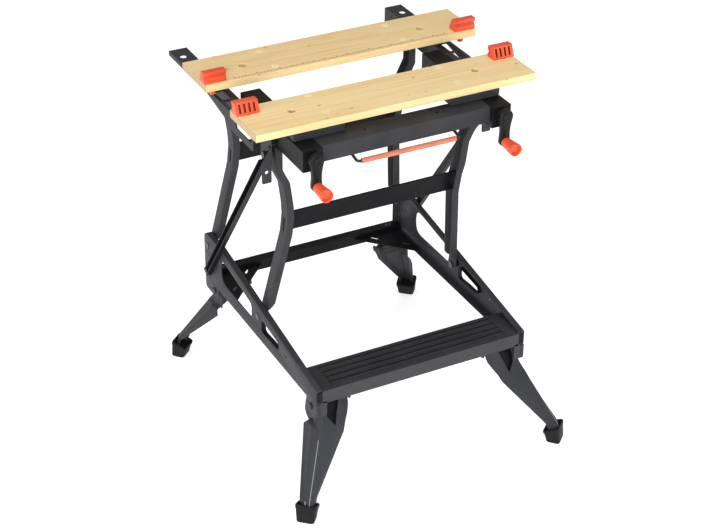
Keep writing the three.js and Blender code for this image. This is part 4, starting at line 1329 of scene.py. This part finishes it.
@dataclass
class LinkFrames:
    """Front and rear frames of uprights and cross panels, and the braces."""

    edge_mm: float = 0.7
    flange_end: Outline = (
        (200, 34), (211.3, 34), (212.6, 30.5), (215, 27.2), (218.4, 23.8), (221.6, 21), (224.2, 19.6),
        (224.2, -60), (200, -60),
    )
    flange_span_mm: Pair = (-45, 45)

    def build(self) -> None:
        """Dress the frames and braces."""
        for place in Place:
            for side in Side:
                self._upright(Corner(place, side))
            dress(f"{place.value}_panel", Finish.BLACK, self.edge_mm)
        for side in Side:
            dress(f"brace_{side.value}", Finish.BLACK, self.edge_mm)

    def _upright(self, corner: Corner) -> None:
        """Make one upright, its flanges rounded off above the lower pivot.

        Args:
            corner: The upright's corner.
        """
        node = corner.named("upright")
        low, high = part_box(corner.named("pivot_pin"))
        pivot = (low + high) / 2
        outline = [(corner.side.sign * x * MM, pivot.z + z * MM) for x, z in self.flange_end]
        tool = skinned("end", [[[(x, pivot.y + y * MM, z) for x, z in outline] for y in self.flange_span_mm]])
        mesh = carved(cad_mesh(node), tool, self.edge_mm)
        piece = keep_mesh(f"trimmed_{node}", mesh, f"{corner.place.value}_frame", Finish.PAINT)
        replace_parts(piece, node)


@dataclass
class BenchTop:
    """Rails, screw channels, front beam, rear tie, latch plates, jaw carriers and top pins."""

    edge_mm: float = 0.6
    pin_edge_mm: float = 0.3
    beam_edge_mm: float = 1.2
    stud_radius_mm: float = 3.6
    stud_height_mm: float = 0.3
    stud_reach_mm: float = 79.5
    stud_setback_mm: float = 26.0

    def build(self, rivets: RivetTool) -> None:
        """Dress the bench top's steel and set the beam's studs.

        Args:
            rivets: Tool that makes stud heads.
        """
        for side in Side:
            for piece in ("side_rail", "latch_plate", "jaw_carrier"):
                dress(f"{piece}_{side.value}", Finish.PAINT, self.edge_mm)
            dress(f"screw_channel_{side.value}", Finish.BLACK, self.edge_mm)
        for corner in CORNERS:
            dress(corner.named("top_pin"), Finish.STEEL, self.pin_edge_mm)
        dress("front_beam", Finish.PAINT, self.beam_edge_mm, 3)
        dress("rear_tie", Finish.PAINT, self.edge_mm)
        low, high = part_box("front_beam")
        y = low.y + self.stud_setback_mm * MM
        spots = [(side.sign * self.stud_reach_mm * MM, y, high.z) for side in Side]
        mesh = rivets.grow(
            Finish.BLACK, spots, Radius=self.stud_radius_mm * MM, Height=self.stud_height_mm * MM)
        keep_mesh("beam_studs", mesh, "top", Finish.BLACK)


@dataclass(frozen=True)
class DogSpace:
    """Room of one dog: its box, the foot of its slotted face, its underside and which way it faces."""

    low: Vector
    high: Vector
    face: float
    deck: float
    facing: int

    @property
    def middle(self) -> float:
        """Middle of the dog along X."""
        return (self.low.x + self.high.x) / 2

    def at(self, x: float, depth_mm: float, z: float) -> Point:
        """Return the point at a depth behind the slotted face."""
        return (x, self.face + self.facing * depth_mm * MM, z)

    def across(self, outline: Iterable[Pair], ends: Iterable[float]) -> list[list[Point]]:
        """Return the ends of a straight body along X, its outline given in depth and z."""
        return [[self.at(x, depth, z) for depth, z in outline] for x in ends]


@dataclass
class Jaws:
    """Pine jaws with their scale, plugs and dogs."""

    edge_mm: float = 1.0
    tick_pitch_mm: float = 5.0
    tick_count: int = 97
    tick_setback_mm: float = 6.0
    tick_length_mm: float = 4.5
    tick_width_mm: float = 1.5
    plug_radius_mm: float = 8.0
    plug_height_mm: float = 0.3
    plug_reach_mm: float = 145.0
    front_plugs_mm: Pair = (109, 33)
    rear_plugs_mm: Pair = (100, 24)
    dog_gap_mm: float = 0.3
    dog_edge_mm: float = 0.7
    dog_foot_mm: float = 2.0
    dog_lean_mm: float = 10.0
    groove_half_mm: float = 6.0
    groove_depth_mm: float = 4.5
    slot_count: int = 4
    slot_pitch_mm: float = 10.0
    slot_width_mm: float = 4.4
    slot_margin_mm: Pair = (4.0, 3.5)
    slot_depth_mm: tuple[float, float, float] = (-9.0, 9.0, 5.0)
    shade_margin_mm: tuple[float, float, float] = (3.0, 3.0, 2.0)
    shade_depth_mm: Pair = (1.2, 12.0)
    peg_setback_mm: float = 7.0
    peg_rows: Outline = ((0.0, 4.6), (1.5, 6.0), (6.0, 6.6))
    split_reach_mm: float = 2.5
    split_half_mm: float = 0.9
    split_stop_mm: float = 8.0
    split_length_mm: float = 9.0

    def build(self, rivets: RivetTool, ticks: TickTool) -> None:
        """Dress the boards, make the dogs and add the scale and plugs.

        Args:
            rivets: Tool that makes plugs.
            ticks: Tool that makes the scale.
        """
        dress("front_jaw", Finish.FRONT_PINE, self.edge_mm, 3)
        dress("rear_jaw", Finish.REAR_PINE, self.edge_mm, 3)
        for corner in CORNERS:
            self._dog(corner)
        self._scale(ticks)
        self._plugs(rivets, "front_jaw", "moving_jaw", self.front_plugs_mm)
        self._plugs(rivets, "rear_jaw", "top", self.rear_plugs_mm)

    def _dog(self, corner: Corner) -> None:
        """Make one dog: a wedge with a slotted slope, a V groove behind it and a split peg, with painted shade
        inside the slots.

        Args:
            corner: The dog's corner.
        """
        node = corner.named("dog")
        low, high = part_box(node)
        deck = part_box(f"{corner.place.value}_jaw")[1].z + self.dog_gap_mm * MM
        at_front = corner.place is Place.FRONT
        space = DogSpace(low, high, low.y if at_front else high.y, deck, 1 if at_front else -1)
        mesh = merged([self._wedge(space), self._peg(space)], node)
        side, floor, roof = (margin * MM for margin in self.shade_margin_mm)
        shallow, deep = self.shade_depth_mm

        def shaded(face: bpy.types.MeshPolygon) -> bool:
            """Say whether a face lies inside one of the slots, where the painted shade goes."""
            spot = face.center
            slope = self.dog_lean_mm * (spot.z - deck) / (high.z - deck)
            sunk = space.facing * (spot.y - space.face) / MM - slope
            within = low.x + side < spot.x < high.x - side and deck + floor < spot.z < high.z - roof
            return within and shallow < sunk < deep

        # Painted shade: faces inside the slots take the orange's deep red painted shade colour.
        mark_faces(mesh, shaded)
        piece = keep_mesh(f"slotted_{node}", mesh, node, Finish.ORANGE)
        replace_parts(piece, node)

    def _wedge(self, space: DogSpace) -> bpy.types.Mesh:
        """Make a dog's slotted and grooved wedge.

        Args:
            space: Room of the dog.

        Returns:
            The wedge's mesh.
        """
        low, high, deck, top = space.low, space.high, space.deck, space.high.z
        depth, lean = (high.y - low.y) / MM, self.dog_lean_mm
        profile = [(0.0, deck), (0.0, deck + self.dog_foot_mm * MM), (lean, top), (depth, top), (depth, deck)]
        wedge = skinned("wedge", [space.across(profile, (low.x, high.x))])
        groove, half = (deck + top) / 2, self.groove_half_mm * MM
        vee = [(depth + 1, groove + half), (depth - self.groove_depth_mm, groove), (depth + 1, groove - half)]
        tools = [space.across(vee, (low.x - MM, high.x + MM))]
        floor, roof = deck + self.slot_margin_mm[0] * MM, top - self.slot_margin_mm[1] * MM
        open_end, foot, head = self.slot_depth_mm
        slot = [(open_end, floor), (foot, floor), (lean + head, roof), (open_end, roof)]
        half = self.slot_width_mm / 2 * MM
        for i in range(self.slot_count):
            x = space.middle + (i - (self.slot_count - 1) / 2) * self.slot_pitch_mm * MM
            tools.append(space.across(slot, (x - half, x + half)))
        return carved(wedge, skinned("slots", tools), self.dog_edge_mm)

    def _peg(self, space: DogSpace) -> bpy.types.Mesh:
        """Make a dog's split peg.

        Args:
            space: Room of the dog.

        Returns:
            The peg's mesh.
        """
        x, y, bottom = space.at(space.middle, self.peg_setback_mm, space.low.z)
        rows = [(bottom + rise * MM, radius) for rise, radius in self.peg_rows]
        rows.append((space.deck + MM, self.peg_rows[-1][1]))
        turn = circle(28)
        rings = [[(x + radius * MM * c, y + radius * MM * s, z) for c, s in turn] for z, radius in rows]
        floor, stop = bottom - MM, space.deck - self.split_stop_mm * MM
        splits = []
        for way in (-1, 1):
            middle, half = x + way * self.split_reach_mm * MM, self.split_half_mm * MM
            left, right = middle - half, middle + half
            outline = [(left, floor), (right, floor), (right, stop), (left, stop)]
            ends = (y - self.split_length_mm * MM, y + self.split_length_mm * MM)
            splits.append([[(u, v, w) for u, w in outline] for v in ends])
        return carved(skinned("peg", [rings]), skinned("split", splits))

    def _scale(self, ticks: TickTool) -> None:
        """Print the scale along the rear jaw's front edge.

        Args:
            ticks: Tool that makes the ticks.
        """
        low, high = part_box("rear_jaw")
        half = (self.tick_count - 1) / 2 * self.tick_pitch_mm * MM
        mesh = ticks.grow(
            Finish.INK, Count=self.tick_count, Start=(-half, low.y + self.tick_setback_mm * MM, high.z),
            Pitch=self.tick_pitch_mm * MM, Length=self.tick_length_mm * MM, Width=self.tick_width_mm * MM)
        keep_mesh("rear_jaw_scale", mesh, "top", Finish.INK)

    def _plugs(self, rivets: RivetTool, board: str, body: str, rows_mm: Pair) -> None:
        """Set flat plugs over the screws of one board.

        Args:
            rivets: Tool that makes the plugs.
            board: The board's node.
            body: Body that it moves with.
            rows_mm: Distances of the plugs from the board's front edge.
        """
        low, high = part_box(board)
        reach = self.plug_reach_mm * MM
        spots = [(side.sign * reach, low.y + row * MM, high.z) for side in Side for row in rows_mm]
        mesh = rivets.grow(
            Finish.PLUG, spots, Radius=self.plug_radius_mm * MM, Height=self.plug_height_mm * MM)
        keep_mesh(f"{board}_plugs", mesh, body, Finish.PLUG)


@dataclass
class ViceDrive:
    """Vice screws, cranks and crank knobs, with rows of depth and radius in millimetres."""

    screw_radius_mm: float = 6.0
    screw_lead_mm: float = 6.0
    screw_ridge_mm: float = 1.1
    screw_gap_mm: float = 1.0
    screw_smooth_deg: float = 50.0
    hub_mm: float = 15.0
    hub_wrap: float = 0.45
    end_mm: float = 11.0
    end_wrap: float = 0.05
    throw_mm: float = 54.0
    waist_mm: float = 2.6
    waist_steps: int = 6
    knob_gap_mm: float = 0.3
    arm_rows: Outline = ((0.0, 1.6), (0.6, 0.5), (1.6, 0.0), (10.4, 0.0), (11.5, 0.6), (12.0, 1.6))
    boss_rows: Outline = ((-0.9, 1.0), (-1.0, 4.2), (-1.5, 5.0), (-1.4, 7.4), (-0.8, 8.6), (1.0, 9.0))
    collar_mm: float = 11.0
    collar_edge_mm: float = 0.8
    spindle_rows: Outline = ((11.5, 3.4), (12.3, 4.0))
    flutes: int = 12
    knob_sides: int = 60

    def build(self, threads: ThreadTool) -> None:
        """Make both drives.

        Args:
            threads: Tool that makes threaded rods.
        """
        for side in Side:
            self._screw(side, threads)
            self._crank(side)
            self._knob(side)

    def _screw(self, side: Side, threads: ThreadTool) -> None:
        """Make one threaded vice screw.

        Args:
            side: Side of the bench.
            threads: Tool that makes threaded rods.
        """
        node = f"vice_screw_{side.value}"
        low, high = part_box(node)
        middle = (low + high) / 2
        mesh = threads.grow(
            Finish.STEEL, Start=(middle.x, low.y, middle.z), Length=high.y - low.y - self.screw_gap_mm * MM,
            Radius=self.screw_radius_mm * MM, Lead=self.screw_lead_mm * MM, Ridge=self.screw_ridge_mm * MM)
        name, body = f"threaded_screw_{side.value}", f"crank_{side.value}"
        piece = keep_mesh(name, mesh, body, Finish.STEEL, self.screw_smooth_deg)
        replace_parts(piece, node)

    def _crank(self, side: Side) -> None:
        """Make one crank: a tapered arm with a domed hub, a collar and the knob's spindle.

        Args:
            side: Side of the bench.
        """
        node = f"crank_{side.value}"
        low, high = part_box(node)
        knob_low, knob_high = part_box(f"crank_knob_{side.value}")
        hub = Vector(((low.x + high.x) / 2, 0.0, high.z - self.hub_mm * MM))
        end = hub - Vector((0.0, 0.0, self.throw_mm * MM))
        front = knob_high.y + self.knob_gap_mm * MM
        back = front + self.arm_rows[-1][0] * MM
        edge = self.collar_edge_mm
        boss = [(front + depth * MM, radius) for depth, radius in self.boss_rows]
        collar = [(back - MM, self.collar_mm), (high.y - edge * MM, self.collar_mm)]
        collar.append((high.y, self.collar_mm - edge))
        spindle = [(knob_low.y + depth * MM, radius) for depth, radius in self.spindle_rows]
        spindle.append((front + MM, self.spindle_rows[-1][1]))
        bodies = [[self._arm_ring(hub, end, front + depth * MM, inset) for depth, inset in self.arm_rows]]
        for centre, rows, sides in ((hub, boss, 28), (hub, collar, 28), (end, spindle, 20)):
            bodies.append([ring_y(centre, radius, y, sides) for y, radius in rows])
        piece = keep_mesh(f"crank_arm_{side.value}", skinned(node, bodies), node, Finish.CAST)
        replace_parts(piece, node)

    def _arm_ring(self, hub: Vector, end: Vector, y: float, inset_mm: float) -> list[Point]:
        """Return the crank's outline at one depth.

        Args:
            hub: Centre of the hub.
            end: Centre of the arm's end.
            y: Place along Y.
            inset_mm: How far the outline is drawn in.

        Returns:
            The outline's points.
        """
        def bow(centre: Vector, radius_mm: float, start: float, stop: float, count: int) -> list[Vector]:
            """Return points of an arc about one centre."""
            angles = [start + (stop - start) * i / (count - 1) for i in range(count)]
            reach = (radius_mm - inset_mm) * MM
            return [Vector((centre.x + reach * math.cos(a), y, centre.z + reach * math.sin(a))) for a in angles]

        head = bow(hub, self.hub_mm, -self.hub_wrap, math.pi + self.hub_wrap, 19)
        foot = bow(end, self.end_mm, math.pi - self.end_wrap, 2 * math.pi + self.end_wrap, 15)
        points = []
        for arc, other in ((head, foot), (foot, head)):
            points += arc
            for i in range(1, self.waist_steps):
                share = i / self.waist_steps
                spot = arc[-1].lerp(other[0], share)
                inward = 1 if spot.x < hub.x else -1
                spot.x += inward * self.waist_mm * MM * math.sin(math.pi * share)
                points.append(spot)
        return [tuple(point) for point in points]

    def _knob(self, side: Side) -> None:
        """Make one fluted grip with a hollow tip.

        Args:
            side: Side of the bench.
        """
        node = f"crank_knob_{side.value}"
        low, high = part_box(node)
        length, wide = (high.y - low.y) / MM, (high.x - low.x) / 2 / MM
        # Distance from the tip, radius and depth of the flutes: bore, root, grip, rim and hollow.
        rows = [(11.0, 0.6, 0.0), (11.0, 4.5, 0.0), (length, 4.6, 0.0)]
        rows += [(length, 9.4, 0.0), (length - 0.8, 10.4, 0.0), (length - 4.0, 10.7, 0.0)]
        rows += [(length - 6.0, 10.9, 0.5), (7.0, wide - 0.3, 0.8), (4.5, wide, 0.3), (3.0, wide, 0.0)]
        rows += [(0.8, wide - 0.4, 0.0), (0.0, wide - 1.2, 0.0), (0.0, wide - 2.4, 0.0)]
        rows += [(0.8, wide - 3.0, 0.0), (7.0, wide - 4.2, 0.0), (8.0, 0.6, 0.0)]
        middle, sides = (low + high) / 2, self.knob_sides
        rings = [ring_y(middle, radius, low.y + y * MM, sides, wave, self.flutes) for y, radius, wave in rows]
        name, body = f"knob_grip_{side.value}", f"knob_{side.value}"
        piece = keep_mesh(name, skinned(node, [rings]), body, Finish.ORANGE)
        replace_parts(piece, node)


@dataclass
class ReleaseBail:
    """Wire bail under the front beam and its sleeve."""

    wire_mm: float = 3.0
    wire_sides: int = 14
    spread_mm: float = 0.1
    bend_mm: float = 7.0
    bend_steps: int = 6
    tail_mm: float = 26.0
    sleeve_rows: Outline = ((0.0, 3.3), (0.0, 4.6), (0.8, 5.4), (2.0, 5.5), (3.4, 5.1), (6.0, 5.2))

    def build(self) -> None:
        """Make the wire and the sleeve."""
        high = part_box("bail_wire")[1]
        radius = self.wire_mm * MM
        half = high.x - radius + self.spread_mm * MM
        low_end, high_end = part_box("bail_sleeve")
        middle = (low_end + high_end) / 2
        right = self._arm(half, (high.y - radius, high.z - radius), (middle.y, middle.z))
        left = [(-x, y, z) for x, y, z in reversed(right)]
        wire = tube(right + left, radius, self.wire_sides)
        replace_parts(keep_mesh("bail_rod", wire, "bail", Finish.PAINT), "bail_wire")
        self._sleeve(low_end.x, high_end.x, middle)

    def _arm(self, half: float, hinge: Pair, grip: Pair) -> list[Point]:
        """Return the right half of the wire's centre line.

        Args:
            half: Distance of the arm from the middle.
            hinge: The hinge's y and z.
            grip: The grip's y and z.

        Returns:
            Points from the hinged tail to the start of the grip.
        """
        bend = self.bend_mm * MM
        corner = half - bend
        angles = [math.pi / 2 * i / self.bend_steps for i in range(self.bend_steps + 1)]
        quarter = [(bend * math.sin(angle), bend * math.cos(angle)) for angle in angles]

        def at(x: float, y: float) -> Point:
            """Return the point of the bail's plane at x and y."""
            share = (hinge[0] - y) / (hinge[0] - grip[0])
            return (x, y, hinge[1] + share * (grip[1] - hinge[1]))

        points = [at(half - self.tail_mm * MM, hinge[0])]
        points += [at(corner + s, hinge[0] - bend + c) for s, c in quarter]
        return points + [at(corner + c, grip[0] + bend - s) for s, c in quarter]

    def _sleeve(self, start: float, end: float, middle: Vector) -> None:
        """Make the sleeve: a soft tube with rolled ends.

        Args:
            start: Lowest x.
            end: Highest x.
            middle: Its middle.
        """
        rows = [(start + along * MM, radius * MM) for along, radius in self.sleeve_rows]
        rows += [(end - along * MM, radius * MM) for along, radius in reversed(self.sleeve_rows)]
        turn = circle(24)
        rings = [[(x, middle.y + radius * c, middle.z + radius * s) for c, s in turn] for x, radius in rows]
        mesh = skinned("sleeve", [rings], closed=True)
        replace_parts(keep_mesh("bail_grip", mesh, "bail", Finish.SLEEVE), "bail_sleeve")


@dataclass(frozen=True)
class Lamp:
    """Soft square lamp: where it hangs, its sides in metres and its power in watts."""

    name: str
    place: Point
    size: float
    power: float


@dataclass
class Studio:
    """Floor, light and the photograph's camera."""

    azimuth_deg: float = -27.59
    elevation_deg: float = 31.66
    roll_deg: float = 0.56
    lens_mm: float = 89.55
    sensor_mm: float = 36.0
    clip_end: float = 100.0
    aim: Point = (-0.06732, -0.08211, 0.4)
    distance: float = 3.57369
    floor_reach: float = 30.0
    floor_colour: Colour = (0.95, 0.95, 0.95)
    floor_rough: float = 0.9
    floor_glow: float = 0.5
    sky: Colour = (0.96, 0.98, 1.0)
    sky_strength: float = 0.34
    white: Colour = (1.0, 1.0, 1.0)
    lamp_aim: Point = (0.0, 0.0, 0.45)
    lamps: tuple[Lamp, ...] = (
        Lamp("key", (-2.1, -3.3, 1.7), 2.0, 110.0),
        Lamp("fill", (2.6, -2.8, 1.4), 2.0, 30.0),
        Lamp("left", (-3.5, -0.7, 1.3), 2.0, 24.0),
        Lamp("top", (-0.6, -0.4, 3.4), 2.6, 52.0),
    )

    def build(self) -> None:
        """Set the stage."""
        self._camera()
        self._floor()
        self._world()
        for lamp in self.lamps:
            self._hang(lamp)
        bpy.context.scene.view_settings.view_transform = "Standard"

    def _camera(self) -> None:
        """Place the camera where the photograph was taken."""
        turn, rise, roll = (math.radians(a) for a in (self.azimuth_deg, self.elevation_deg, self.roll_deg))
        back = Vector((math.sin(turn) * math.cos(rise), -math.cos(turn) * math.cos(rise), math.sin(rise)))
        right = Vector((math.cos(turn), math.sin(turn), 0.0))
        up = back.cross(right)
        level = right * math.cos(roll) + up * math.sin(roll)
        upright = up * math.cos(roll) - right * math.sin(roll)
        camera = add_object("camera", bpy.data.cameras.new("camera"))
        camera.data.lens = self.lens_mm
        camera.data.sensor_width = self.sensor_mm
        camera.data.clip_end = self.clip_end
        turned = Matrix((level, upright, back)).transposed().to_4x4()
        camera.matrix_world = Matrix.Translation(Vector(self.aim) + back * self.distance) @ turned
        bpy.context.scene.camera = camera

    def _floor(self) -> None:
        """Lay the pale floor."""
        reach = self.floor_reach
        corners = [(-reach, -reach, 0), (reach, -reach, 0), (reach, reach, 0), (-reach, reach, 0)]
        mesh = bpy.data.meshes.new("floor")
        mesh.from_pydata(corners, [], [(0, 1, 2, 3)])
        canvas = MaterialCanvas("studio floor")
        canvas.fill(canvas.shader, {
            "Base Color": opaque(self.floor_colour), "Emission Color": opaque(self.white),
            "Emission Strength": self.floor_glow, "Roughness": self.floor_rough, "Specular IOR Level": 0.0,
        })
        mesh.materials.append(canvas.material)
        add_object("floor", mesh)

    def _world(self) -> None:
        """Light the scene softly and keep the background white."""
        world = bpy.data.worlds.new("studio")
        bpy.context.scene.world = world
        world.use_nodes = True
        world.node_tree.nodes.clear()
        canvas = NodeCanvas(world.node_tree)
        path = canvas.add("ShaderNodeLightPath").outputs
        seen = canvas.math("MAXIMUM", path["Is Camera Ray"], path["Is Transmission Ray"])
        soft, white = (
            canvas.add("ShaderNodeBackground", {"Color": opaque(colour), "Strength": strength}).outputs[0]
            for colour, strength in ((self.sky, self.sky_strength), (self.white, 1.0)))
        mixed = canvas.add("ShaderNodeMixShader", {0: seen, 1: soft, 2: white})
        canvas.add("ShaderNodeOutputWorld", {"Surface": mixed.outputs[0]})

    def _hang(self, lamp: Lamp) -> None:
        """Hang one lamp, turned to the bench.

        Args:
            lamp: The lamp.
        """
        light = add_object(lamp.name, bpy.data.lights.new(lamp.name, "AREA"))
        light.data.size = lamp.size
        light.data.energy = lamp.power
        light.location = lamp.place
        light.rotation_mode = "QUATERNION"
        way = Vector(self.lamp_aim) - Vector(lamp.place)
        light.rotation_quaternion = way.to_track_quat("-Z", "Y")


def main() -> None:
    """Build the bench's looks in order and set the stage."""
    logging.basicConfig(level=logging.INFO)
    rivets, ticks, threads = RivetTool(), TickTool(), ThreadTool()
    BaseFrame().build(rivets)
    Legs().build()
    LinkFrames().build()
    BenchTop().build(rivets)
    Jaws().build(rivets, ticks)
    ViceDrive().build(threads)
    ReleaseBail().build()
    Studio().build()


if __name__ == "__main__":
    main()
